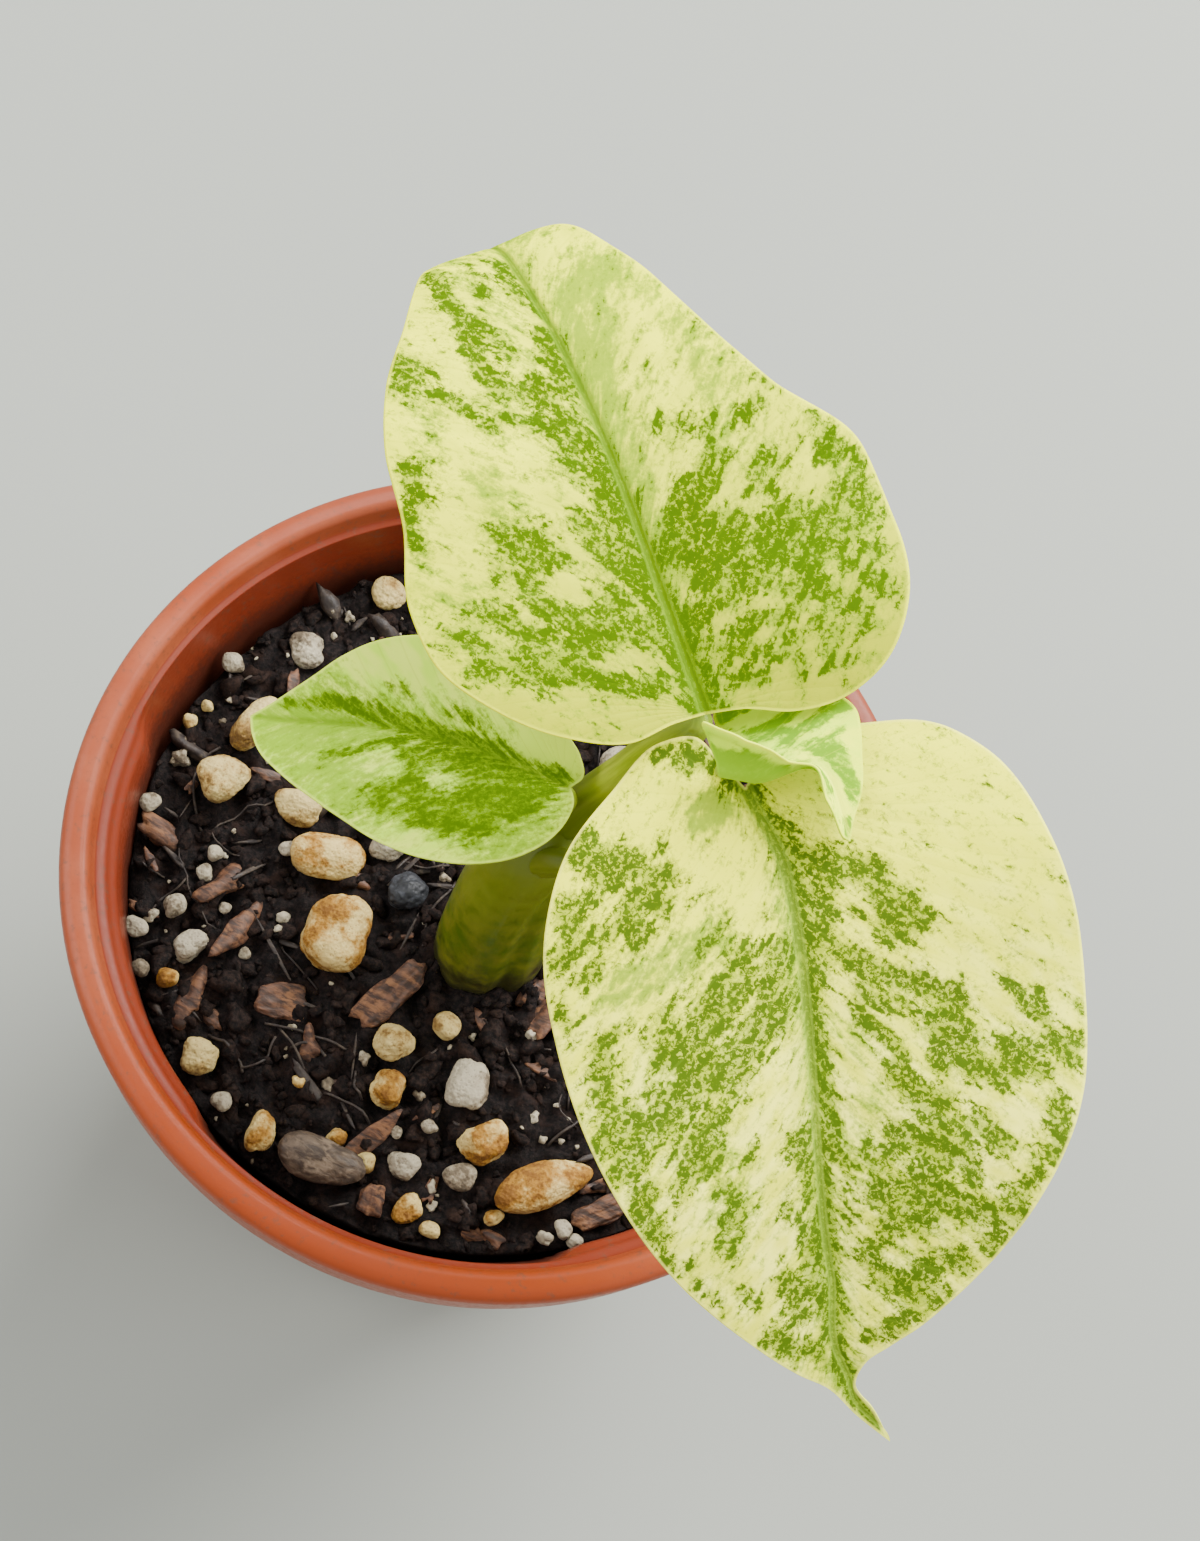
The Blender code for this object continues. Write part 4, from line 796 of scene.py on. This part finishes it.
def stalk_look():
    look = Look("stalk skin", Roughness=0.4, Subsurface_Weight=0.2, Subsurface_Radius=(0.9, 1.0, 0.25),
                Subsurface_Scale=0.0012)
    far = look.value("far")
    streaks = look.noise(look.scaled(look.vector("skin"), (1.6, 1.6, 0.1)), 1.0, 4, 0.6)
    look.base = look.mix(look.step(streaks, 0.38, 0.62), (0.28, 0.36, 0.003), (0.42, 0.50, 0.012))
    look.coat(look.step(far, 0.75, 1.0, 0.0, 0.6), (0.30, 0.42, 0.03))
    look.coat(look.fade(far, 0.28, 0.6) * 0.9, (0.15, 0.19, 0.003))
    return look.done(streaks, 0.25, 0.1, streaks, 0.34, 0.46)


# Pot

POT_SIDES = 216
DRAIN_HOLES = 8
DRAIN_HOLE_RADIUS = 2.6
DRAIN_RING_RADIUS = 20.5
# The stacking ledges inside the wall: middle azimuths and half width in degrees, the radius where they start
# and the height where they end
LEDGES = (-145.0, -25.0, 95.0)
LEDGE_HALF = 31.0
LEDGE_RADIUS = 41.4
LEDGE_FOOT = 66.0


def wall_radius(height):
    """Inner radius of the tapered wall at a height below the ledge."""
    foot = FOOT_RADIUS - WALL
    return foot + (WALL_TOP_RADIUS - foot) * (height - FLOOR) / (POT_HEIGHT - 6 - FLOOR)


def rounded(profile, radius, steps):
    """The profile with each inner corner replaced by a short curve."""
    p = np.array(profile, float)
    line = [p[0]]
    for before, corner, after in zip(p[:-2], p[1:-1], p[2:]):
        a, b = before - corner, after - corner
        la, lb = np.linalg.norm(a), np.linalg.norm(b)
        reach = min(radius, 0.45 * la, 0.45 * lb)
        start, end = corner + a / la * reach, corner + b / lb * reach
        for k in range(steps + 1):
            t = k / steps
            line.append(start * (1 - t) ** 2 + 2 * corner * t * (1 - t) + end * t * t)
    return np.array(line + [p[-1]])


def drilled(pot):
    """The pot's mesh with its drain holes cut."""
    drills = bpy.data.collections.new("drills")
    for k in range(DRAIN_HOLES):
        angle = TURN * (k + 0.5) / DRAIN_HOLES
        place = Vector((*polar(DRAIN_RING_RADIUS, angle), 1)) * MM
        bm = bmesh.new()
        bmesh.ops.create_cone(bm, cap_ends=True, segments=32, radius1=DRAIN_HOLE_RADIUS * MM,
                              radius2=DRAIN_HOLE_RADIUS * MM, depth=6 * MM, matrix=Matrix.Translation(place))
        mesh = bpy.data.meshes.new("drill")
        bm.to_mesh(mesh)
        bm.free()
        drills.objects.link(bpy.data.objects.new("drill", mesh))
    cut = pot.modifiers.new("drain holes", "BOOLEAN")
    cut.operation, cut.operand_type, cut.collection, cut.solver = "DIFFERENCE", "COLLECTION", drills, "EXACT"
    bpy.context.view_layer.update()
    mesh = bpy.data.meshes.new_from_object(pot.evaluated_get(bpy.context.evaluated_depsgraph_get()))
    pot.modifiers.clear()
    for drill in list(drills.objects):
        bpy.data.objects.remove(drill, do_unlink=True)
    bpy.data.collections.remove(drills)
    return mesh


def make_pot(material):
    """Tapered nursery pot with a rolled rim, three stacking ledges inside the wall and drain holes."""
    top = POT_HEIGHT
    profile = [
        (0, 0), (13, 0), (14, 0.8), (25.5, 0.8), (26.5, 0), (FOOT_RADIUS - 0.8, 0), (FOOT_RADIUS, 0.9),
        (WALL_TOP_RADIUS + 1.2, top - 9.5), (41.6, top - 4), (42.0, top - 1.7), (43.7, top - 1.7),
        (43.4, top - 8.6), (44.4, top - 8.6), (RIM_RADIUS, top - 1.2), (44.7, top - 0.4), (43.9, top),
        (42.6, top), (RIM_RADIUS - 3, top - 0.5), (41.5, top - 2.2), (41.1, top - 2.5), (40.4, top - 2.9),
        (40.0, top - 3.9), (WALL_TOP_RADIUS, top - 6), (wall_radius(60), 60), (wall_radius(30), 30),
        (wall_radius(FLOOR + 1.2), FLOOR + 1.2), (wall_radius(FLOOR) - 1.2, FLOOR), (0, FLOOR),
    ]
    line = rounded(profile, 0.7, 4)
    points, inside = [(0, 0, 0)], [0]
    ledge_start = next(i for i, (r, z) in enumerate(line) if abs(r - LEDGE_RADIUS) < 0.2 and top - 3 < z < top - 2)
    for i, (r, z) in enumerate(line[1:-1]):
        for angle in circle(POT_SIDES):
            radius = r
            if i >= ledge_start:
                off = min(abs(math.remainder(angle - math.radians(a), TURN)) for a in LEDGES)
                on = 1 / (1 + math.exp((math.degrees(off) - LEDGE_HALF) / 0.9))
                fade = np.clip((z - LEDGE_FOOT) / 3, 0, 1)
                smooth = 40.9 - 0.11 * (top - 2.4 - z)  # the plain wall between the ledges
                drop = np.clip((top - 3.4 - z) / 0.8, 0, 1) * fade
                radius = r + (1 - on) * max(smooth - r, 0) * fade - on * 0.55 * drop
            points.append((*polar(radius, angle), z))
            inside.append(float(i >= ledge_start))
    points.append((0, 0, FLOOR))
    faces, fields = ring_faces(len(line) - 2, POT_SIDES), {"inside": inside + [1]}
    pot = piece("pot_moulded", points, faces, material, fields, sharp=40)
    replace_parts(pot, "pot")
    pot.data = drilled(pot)


def pot_look():
    look = Look("terracotta plastic", Roughness=0.4, Specular_IOR_Level=0.2)
    where, inside = look.place(), look.value("inside")
    side, height = (look.node("SeparateXYZ", {0: where}, out=axis) for axis in "YZ")
    fine = look.noise(where, 1.6, 4, 0.65)
    clouds = look.step(look.noise(where, 0.09, 4, 0.6), 0.35, 0.65)
    look.base = look.mix(clouds, (0.25, 0.046, 0.014), (0.285, 0.066, 0.026))
    look.coat(look.step(fine, 0.4, 0.7) * 0.25, (0.20, 0.035, 0.010))
    # Painted reflection: the near side of the pot is a deeper orange, where the rim shows no sheen of reflected light.
    look.coat(look.step(side, -40, -22, 0.85, 0.0), (0.255, 0.036, 0.004))
    # Painted shade: the far side of the pot is darker, as the leaves' shadow.
    look.coat(look.step(side, 5, 40, 0.0, 0.7), (0.15, 0.026, 0.010))
    # Painted shade: the inner wall is darker and redder than the outside of the pot.
    look.coat(inside * 0.75, (0.15, 0.018, 0.007))
    look.coat(look.step(fine + look.noise(where, 0.5, 3, 0.6) * 0.6, 0.86, 1.02) * 0.5, (0.10, 0.05, 0.03))
    look.coat(look.fade(height + fine * -4, 67.5, 72.5) * inside * 0.75, (0.018, 0.009, 0.006))
    return look.done(look.noise(where, 6.0, 2, 0.5) + fine, 0.2, 0.05, fine, 0.32, 0.46)


# Potting mix

def soil_height(x, y):
    """Height of the mix, which heaps a little round the stem and lies in small lumps."""
    away = np.hypot(x - STEM_FOOT[0], y - STEM_FOOT[1])
    heap = 1.2 * np.exp(-((away / 11) ** 2))
    lumps = 0.5 * np.sin(0.9 * x + 1.3) * np.sin(0.8 * y + 0.4)
    lumps += 0.35 * np.sin(1.7 * x + 0.7 * y) + 0.25 * np.sin(1.9 * y - 1.1 * x + 2)
    return SOIL_LEVEL + SOIL_SLOPE * y + heap + lumps


# name, x, y, length, width, height, turn in degrees, stain
STONES = (
    ("pumice_01", -31.2, -1.8, 6.0, 5.0, 4.6, 60, "tan"),
    ("pumice_02", -31.0, 5.2, 6.4, 4.4, 4.2, 75, "tan"),
    ("pumice_03", -17.6, -4.6, 7.4, 6.2, 5.4, 20, "orange"),
    ("pumice_04", -13.2, -12.0, 8.2, 7.8, 6.8, 10, "orange"),
    ("pumice_05", -22.8, -0.8, 6.0, 4.0, 3.8, 10, "tan"),
    ("pumice_06", -12.3, -0.2, 4.8, 4.0, 3.8, 80, "white"),
    ("pumice_07", -2.3, -19.6, 4.8, 4.2, 4.0, 30, "tan"),
    ("pumice_08", -0.9, -24.2, 4.2, 3.9, 3.6, 0, "orange"),
    ("pumice_09", 6.4, -20.2, 5.8, 4.4, 4.2, 100, "white"),
    ("pumice_10", 10.6, -25.0, 5.2, 4.8, 4.4, 50, "orange"),
    ("pumice_11", 17.8, -26.6, 11.4, 5.0, 5.0, 44, "orange"),
    ("pumice_12", 3.9, -30.6, 3.5, 3.3, 3.3, 0, "white"),
    ("pumice_13", 6.2, -34.6, 3.8, 3.1, 3.2, 70, "orange"),
    ("pumice_14", -10.6, -33.8, 4.6, 3.1, 3.6, 100, "orange"),
    ("pumice_15", -30.0, 16.0, 4.5, 3.9, 3.6, 30, "white"),
    ("pumice_16", -25.0, 26.0, 4.5, 4.1, 3.6, 0, "tan"),
    ("pumice_17", -19.6, -29.6, 4.2, 3.7, 3.6, 15, "tan"),
    ("pumice_18", -26.1, -19.4, 3.9, 3.5, 3.4, 60, "white"),
    ("pumice_19", 8.0, 20.0, 7.0, 5.6, 5.0, 35, "white"),
    ("pumice_20", 24.5, 12.0, 6.2, 5.0, 4.6, 120, "orange"),
    ("pumice_21", 28.0, -8.0, 5.6, 4.6, 4.4, 70, "tan"),
    ("pumice_22", -8.0, 31.0, 5.6, 4.2, 4.0, 160, "orange"),
    ("charcoal", -8.2, -4.6, 5.0, 4.2, 3.8, 45, "black"),
    ("bark_lump", -3.8, -34.0, 9.0, 5.4, 4.6, 8, "brown"),
)
STONE_RISE = 0.12

# name, x, y, length, width, thickness, turn in degrees, tilt in degrees
CHIPS = (
    ("bark_01", -5.0, -15.2, 9.6, 3.6, 1.5, 66, 12),
    ("bark_02", -14.8, -20.6, 5.6, 4.2, 1.5, 20, -10),
    ("bark_03", 2.6, -35.2, 3.4, 2.8, 1.4, 100, 10),
    ("bark_04", 24.4, -26.4, 6.4, 2.8, 1.4, 48, 8),
    ("bark_05", 16.0, 27.0, 10.5, 4.4, 1.6, 150, 8),
)

# Small stones between them: x, y, size, stain
PEBBLES = (
    (1.8, -15.7, 3.0, "tan"), (9.6, -29.4, 3.2, "white"), (-3.5, -31.0, 2.2, "orange"), (0.3, -32.0, 2.2, "tan"),
    (-37.0, -7.4, 2.4, "white"), (-28.3, -11.7, 1.8, "white"), (-29.3, -16.6, 2.6, "white"),
    (-26.4, -23.6, 2.3, "orange"), (-29.4, -24.0, 2.0, "white"), (-36.4, 10.6, 2.6, "white"),
    (-31.9, -20.2, 2.4, "white"), (-37.4, 2.6, 1.9, "tan"), (-36.6, 5.0, 1.5, "tan"), (21.6, -29.6, 2.0, "white"),
    (23.2, -30.2, 1.8, "white"), (9.2, -35.4, 2.0, "tan"), (4.7, -26.0, 1.8, "white"), (-15.6, -32.8, 2.2, "white"),
    (-28.3, -9.4, 1.8, "white"), (-24.7, -14.2, 1.4, "white"), (-20.6, -17.7, 1.4, "white"),
    (-21.6, -5.6, 1.8, "white"), (-9.5, -27.5, 1.6, "orange"), (1.8, -27.8, 1.5, "white"), (14.6, -31.6, 1.9, "orange"),
)


# The stem's place and radius where it leaves the mix
STEM_MIDDLE = (2.3, -6.1)
STEM_REACH = 5.6
# Radius of the mix's surface, how far out small bits and fibres start, and how far fibres reach
MIX_RADIUS = 38.6
BIT_RADIUS = 38.3
FIBRE_RADIUS = 36
FIBRE_LIMIT = 38


def lump_points(ball_points, phase):
    """Pulls the points of a unit ball in and out into a rounded stone."""
    x, y, z = ball_points.T
    factor = 1 + 0.10 * np.sin(2.9 * x + phase) + 0.08 * np.sin(3.7 * y + 2.1 * phase + 1)
    factor += 0.07 * np.sin(4.3 * z + 1.3 * x + 0.7 * phase)
    return ball_points * factor[:, None]


def pitted(points, size, phase, depth):
    """Points of a stone of `size` millimetres, pulled in by rough grain and small pores."""
    pulled = []
    for p in points:
        q = Vector(p) * size * 0.5 + Vector((phase, 2 * phase, -phase))
        grain = noise.fractal(q * 0.9, 0.9, 2.1, 4) * 0.5
        pore = max(0.0, 0.42 - noise.voronoi(q * 1.5)[0][0]) * 0.8
        pulled.append(-depth * (0.25 + max(grain, -0.25) * 0.5 + pore) / (size / 2))
    return points * (1 + np.array(pulled))[:, None]


def make_stones(looks):
    points, faces = ball(5)
    for name, x, y, length, width, height, turn, stain in STONES:
        p = lump_points(points, x + 2 * y)
        p = p * (1 + 0.5 * ((np.abs(points) ** 3).sum(axis=1) ** (-1 / 3) - 1.1))[:, None]
        p = pitted(p, (length + width + height) / 3, x, 0.55)
        p = turned_about_z(p * (np.array((length, width, height)) / 2), turn)
        p = p + (x, y, float(soil_height(x, y)) + STONE_RISE * height)
        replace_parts(piece(name + "_grain", p, faces, looks[stain]), name)
    points, faces = ball(4)
    for stain in ("tan", "orange", "white"):
        shapes = []
        for x, y, size in (pebble[:3] for pebble in PEBBLES if pebble[3] == stain):
            p = pitted(lump_points(points, 3 * x + y), size, y, 0.3)
            p = turned_about_z(p * (np.array((1.1, 0.95, 0.85)) * size / 2), 40 * x)
            shapes.append(p + (x, y, float(soil_height(x, y)) + 0.2 * size))
        crowd("pebbles_" + stain, shapes, faces, looks[stain])


def chip_points(ball_points, length, width, thickness, phase):
    """A flake with an uneven outline, rounded edges and grain along its length."""
    x, y, z = ball_points.T
    box = (x ** 4 + y ** 4 + z ** 4) ** 0.25
    p = ball_points / box[:, None] * 0.5
    angle = np.arctan2(p[:, 1], p[:, 0])
    ragged = 1 + 0.07 * np.sin(3 * angle + phase) + 0.05 * np.sin(7 * angle + 2 * phase)
    p = p * np.stack([ragged * 0.92, ragged * 0.92, np.ones(len(x))], axis=1) * (length, width, thickness)
    rough = np.array([noise.fractal(Vector((0.35 * a + phase, 1.8 * b, 1.8 * c)), 0.8, 2.0, 3) for a, b, c in p])
    return p * (1 + 0.05 * rough)[:, None] + np.stack([0 * rough, 0 * rough, 0.16 * rough], axis=1)


def make_chips(material):
    points, faces = ball(5)
    for name, x, y, length, width, thickness, turn, tilt in CHIPS:
        p = chip_points(points, length, width, thickness, x)
        c, s = math.cos(math.radians(tilt)), math.sin(math.radians(tilt))
        p = turned_about_z(p @ np.array(((c, 0, s), (0, 1, 0), (-s, 0, c))), turn)
        p = p + (x, y, float(soil_height(x, y)) + 0.2 * thickness)
        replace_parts(piece(name + "_flake", p, faces, material), name)


def clear_of_stones(x, y, margin):
    """Whether a place is off the stones, the chips and the stem."""
    for _, sx, sy, length, width, _, _, _ in STONES:
        if math.hypot(x - sx, y - sy) < (length + width) / 4 + margin:
            return False
    for _, sx, sy, length, width, _, turn, _ in CHIPS:
        along = (x - sx) * math.cos(math.radians(turn)) + (y - sy) * math.sin(math.radians(turn))
        beside = math.hypot(x - sx, y - sy) ** 2 - along ** 2
        if abs(along) < length / 2 + margin and beside < (width / 2 + margin) ** 2:
            return False
    if any(math.hypot(x - sx, y - sy) < size / 2 + margin for sx, sy, size, _ in PEBBLES):
        return False
    return math.dist((x, y), STEM_MIDDLE) > STEM_REACH + margin


def ground(x, y):
    """Fine height of the mix's surface, with crumbs and crevices."""
    q = Vector((x, y, 0))
    crumb = noise.fractal(q * 0.55, 0.8, 2.1, 5) * 0.55
    lumps = (0.5 - noise.voronoi(q * 0.42)[0][0]) * 0.9
    return float(soil_height(x, y)) + crumb + lumps - 0.35


def make_soil(material):
    """The whole body of the mix, with a fine crumbly top."""
    rings, sides = 120, 240
    shoulder = SOIL_LEVEL - 4
    edge = wall_radius(shoulder) - 0.15
    points = [(0, 0, ground(0, 0))]
    for ring in range(1, rings + 1):
        radius = edge * (ring / rings) ** 0.8
        for angle in circle(sides):
            x, y = polar(radius, angle)
            points.append((x, y, ground(x, y)))
    # height and gap to the wall of the rings under it
    lower = ((shoulder, 0.25), (40, 0.25), (FLOOR + 1.9, 0.25), (FLOOR + 0.3, 1.6))
    for height, gap in lower:
        radius = wall_radius(height) - gap
        points += [(*polar(radius, angle), height) for angle in circle(sides)]
    points.append((0, 0, FLOOR + 0.3))
    soil = piece("mix_body", points, ring_faces(rings + len(lower), sides), material)
    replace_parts(soil, "soil")


def scattered(name, count, low, high, shape, detail, material, seed, lift, margin):
    """Many small bits in one piece, each turned its own way and resting in the mix."""
    rng = np.random.default_rng(seed)
    points, faces = ball(detail)
    shapes = []
    while len(shapes) < count:
        radius, angle = BIT_RADIUS * math.sqrt(rng.random()), TURN * rng.random()
        size = low * (high / low) ** (rng.random() ** 1.8)
        x, y = polar(radius, angle)
        stretch = 1 + (np.array(shape) - 1) * (0.6 + 0.8 * rng.random())
        turn = rng.random(3) * (0.9, 0.9, TURN)
        phase = rng.random() * 20
        if radius > MIX_RADIUS - size / 2 or not clear_of_stones(x, y, margin * size):
            continue
        p = lump_points(points, phase) * (1 + 0.25 * np.sin(7 * points[:, [1, 2, 0]] + phase).sum(axis=1)[:, None] / 3)
        p = p * (1 + 0.3 * (np.sin(2.6 * points[:, :1] + phase) * np.sin(3.1 * points[:, 1:2] + 2 * phase)))
        rotation = (Matrix.Rotation(turn[2], 3, "Z") @ Matrix.Rotation(turn[1] - 0.45, 3, "Y")
                    @ Matrix.Rotation(turn[0] - 0.45, 3, "X"))
        shapes.append((p * stretch * size / 2) @ np.array(rotation).T + (x, y, ground(x, y) + lift * size))
    crowd(name, shapes, faces, material)


def make_fibres(material):
    """Thin dark roots and coir threads that lie over the mix."""
    rng = np.random.default_rng(8)
    count, sides, steps = 90, 5, 10
    shapes = []
    while len(shapes) < count:
        radius, heading = FIBRE_RADIUS * math.sqrt(rng.random()), TURN * rng.random()
        x, y = polar(radius, heading)
        turn, length = TURN * rng.random(), 3 + 8 * rng.random()
        bow, thick = 0.25 * (rng.random() - 0.5), 0.08 + 0.1 * rng.random()
        path = []
        for t in np.linspace(0, 1, steps):
            heading = turn + bow * 10 * (t - 0.5) + 0.3 * math.sin(9 * t + x)
            path.append((x, y, ground(x, y) + 0.18 + 0.5 * math.sin(math.pi * t) * (0.4 + abs(bow) * 5)))
            x, y = np.add((x, y), polar(length / (steps - 1), heading)).tolist()
        if any(math.hypot(a, b) > FIBRE_LIMIT or not clear_of_stones(a, b, 0.2) for a, b, _ in path):
            continue
        path = np.array(path)
        points = [path[0]]
        for place, tangent in zip(path, unit(np.gradient(path, axis=0))):
            facing = unit(np.cross(tangent, (0.1, 0.2, 1)))
            other = np.cross(tangent, facing)
            for angle in circle(sides):
                points.append(place + thick * (math.cos(angle) * facing + math.sin(angle) * other))
        shapes.append(points + [path[-1]])
    crowd("mix_fibres", shapes, ring_faces(steps, sides), material)


def soil_look(name, dark, light, wet):
    look = Look(name, Roughness=0.85, Specular_IOR_Level=0.1)
    where = look.place()
    clumps, fine, grit = (look.noise(where, *grain) for grain in ((0.35, 4, 0.65), (1.8, 5, 0.7), (6.5, 3, 0.6)))
    look.base = look.mix(look.step(fine, 0.38, 0.66), dark, light)
    look.coat(look.step(clumps, 0.5, 0.68) * 0.5, (0.024, 0.012, 0.008))
    look.coat(look.step(grit, 0.62, 0.74) * 0.6, (0.045, 0.032, 0.024))
    return look.done(fine + grit * 0.5, 0.8, 0.35, clumps, wet, 0.95)


def pumice_look(name, pale, stain, dark, stained):
    look = Look(name, Roughness=0.85, Specular_IOR_Level=0.3)
    where = look.place()
    blotch, fine = look.noise(where, 0.22, 3, 0.55), look.noise(where, 1.4, 4, 0.65)
    pores = look.node("TexVoronoi", {"Vector": where, "Scale": 2.6}, out="Distance")
    look.base = look.mix(look.step(blotch + fine * 0.35, 0.72 - stained, 0.92 - stained), pale, stain)
    look.coat(look.step(blotch + fine, 1.02, 1.22) * 0.75, dark)
    look.coat(look.fade(pores, 0.08, 0.3) * 0.5, dark)
    return look.done(fine + pores, 0.6, 0.18, fine, 0.7, 0.92)


def bark_look(name, dark, middle, light, stretch):
    look = Look(name, Roughness=0.7, Specular_IOR_Level=0.4)
    grain = look.noise(look.place(stretch), 1.0, 5, 0.65, 0.4)
    blotch = look.noise(look.place(), 0.4, 3, 0.6)
    look.base = look.mix(look.step(grain, 0.36, 0.62), dark, middle)
    look.coat(look.step(grain + blotch, 1.02, 1.25) * 0.7, light)
    return look.done(grain, 0.7, 0.25, blotch, 0.5, 0.8)


# Bark and the like: dark, middle and light colour, then the stretch of the grain
BARKS = {
    "charcoal grain": ((0.004, 0.0045, 0.006), (0.013, 0.014, 0.017), (0.05, 0.055, 0.065), (700, 700, 700)),
    "bark lump": ((0.03, 0.018, 0.010), (0.09, 0.06, 0.036), (0.18, 0.13, 0.085), (600, 1200, 1200)),
    "bark flake": ((0.024, 0.010, 0.005), (0.105, 0.043, 0.019), (0.19, 0.085, 0.034), (500, 1500, 1500)),
    "root thread": ((0.012, 0.007, 0.005), (0.032, 0.021, 0.014), (0.065, 0.047, 0.03), (900, 900, 900)),
    "root skin": ((0.12, 0.07, 0.025), (0.26, 0.17, 0.07), (0.42, 0.30, 0.14), (900, 900, 300)),
}


def make_mix():
    earth = soil_look("potting mix", (0.0022, 0.0017, 0.0016), (0.014, 0.009, 0.008), 0.55)
    crumbs = soil_look("mix crumbs", (0.0028, 0.0020, 0.0018), (0.022, 0.013, 0.010), 0.5)
    white = pumice_look("white pumice", (0.30, 0.26, 0.18), (0.17, 0.13, 0.08), (0.06, 0.045, 0.028), 0.10)
    tan = pumice_look("tan pumice", (0.46, 0.35, 0.13), (0.26, 0.155, 0.035), (0.10, 0.05, 0.015), 0.13)
    orange = pumice_look("orange pumice", (0.54, 0.40, 0.14), (0.27, 0.125, 0.012), (0.11, 0.04, 0.006), 0.17)
    charcoal, lump, bark, thread, root = (bark_look(name, *values) for name, values in BARKS.items())
    make_soil(earth)
    make_stones({"white": white, "tan": tan, "orange": orange, "black": charcoal, "brown": lump})
    make_chips(bark)
    scattered("mix_crumbs", 1900, 0.5, 2.2, (1.4, 1, 0.7), 2, crumbs, 1, 0.1, 0.15)
    scattered("mix_grit", 150, 0.35, 0.9, (1.2, 1, 0.8), 2, white, 2, 0.35, 0.2)
    scattered("mix_perlite", 46, 1.0, 2.0, (1.2, 1, 0.85), 3, white, 3, 0.3, 0.5)
    scattered("mix_bark_bits", 80, 1.2, 4.2, (2.0, 0.8, 0.35), 3, bark, 4, 0.12, 0.3)
    scattered("mix_splinters", 130, 1.0, 3.4, (2.4, 0.4, 0.3), 2, thread, 5, 0.16, 0.3)
    make_fibres(thread)
    roots = frame["nodes"]["roots"]
    roots.data.materials.clear()
    roots.data.materials.append(root)


# Stage, light and camera

# Place in metres, size in metres and power in watts of the lamps, and the place that they point at
LAMPS = {
    "key": ((0.18, 0.50, 0.62), 0.6, 22.0),
    "fill": ((-0.55, -0.1, 0.6), 0.5, 4.6),
    "side": ((0.6, 0.1, 0.5), 0.4, 3.4),
}
LIT_PLACE = (0, 0, 0.08)


def make_stage():
    mesh = bpy.data.meshes.new("floor")
    mesh.from_pydata([(-3, -3, 0), (3, -3, 0), (3, 3, 0), (-3, 3, 0)], [], [(0, 1, 2, 3)])
    look = Look("pale floor", Roughness=0.9)
    cloudy = look.mix(look.noise(look.place((1, 1, 1)), 3.0, 2, 0.5), (0.25, 0.262, 0.228), (0.268, 0.28, 0.245))
    look.put(look.shader.inputs["Base Color"], cloudy)
    mesh.materials.append(look.material)
    floor = linked("floor", mesh)
    world = bpy.context.scene.world or bpy.data.worlds.new("world")
    bpy.context.scene.world = world
    world.use_nodes = True
    background = world.node_tree.nodes["Background"]
    background.inputs["Color"].default_value = (0.95, 0.97, 1.0, 1)
    background.inputs["Strength"].default_value = 1.1
    for name, (place, size, power) in LAMPS.items():
        light = bpy.data.lights.new(name, "AREA")
        light.size, light.energy = size, power
        lamp = linked(name, light)
        lamp.location = place
        lamp.rotation_euler = (Vector(LIT_PLACE) - Vector(place)).to_track_quat("-Z", "Y").to_euler()


# The camera's tilt from straight down, its roll, and what it aims at in the plane of the rim
CAMERA_TILT = 23.6251
CAMERA_ROLL = 25.377
CAMERA_AIM = (4.8447, 13.4954, 80.0)
CAMERA_DISTANCE = 232.35
FOCAL_PIXELS = 2200
PICTURE_HEIGHT = 1541
SENSOR = 36


def make_camera():
    tilt, roll = math.radians(CAMERA_TILT), math.radians(CAMERA_ROLL)
    back = Vector((0, -math.sin(tilt), math.cos(tilt)))
    across = Vector((1, 0, 0))
    up = back.cross(across)
    right = math.cos(roll) * across + math.sin(roll) * up
    top = -math.sin(roll) * across + math.cos(roll) * up
    data = bpy.data.cameras.new("camera")
    data.sensor_width = SENSOR
    data.lens = FOCAL_PIXELS / PICTURE_HEIGHT * SENSOR
    data.clip_start = 0.01
    camera = linked("camera", data)
    place = (Vector(CAMERA_AIM) + back * CAMERA_DISTANCE) * MM
    camera.matrix_world = Matrix.Translation(place) @ Matrix((right, top, back)).transposed().to_4x4()
    bpy.context.scene.camera = camera


make_camera()
make_stage()
make_pot(pot_look())
make_mix()
make_stem(stem_look())
make_stalks(stalk_look())
make_leaves()
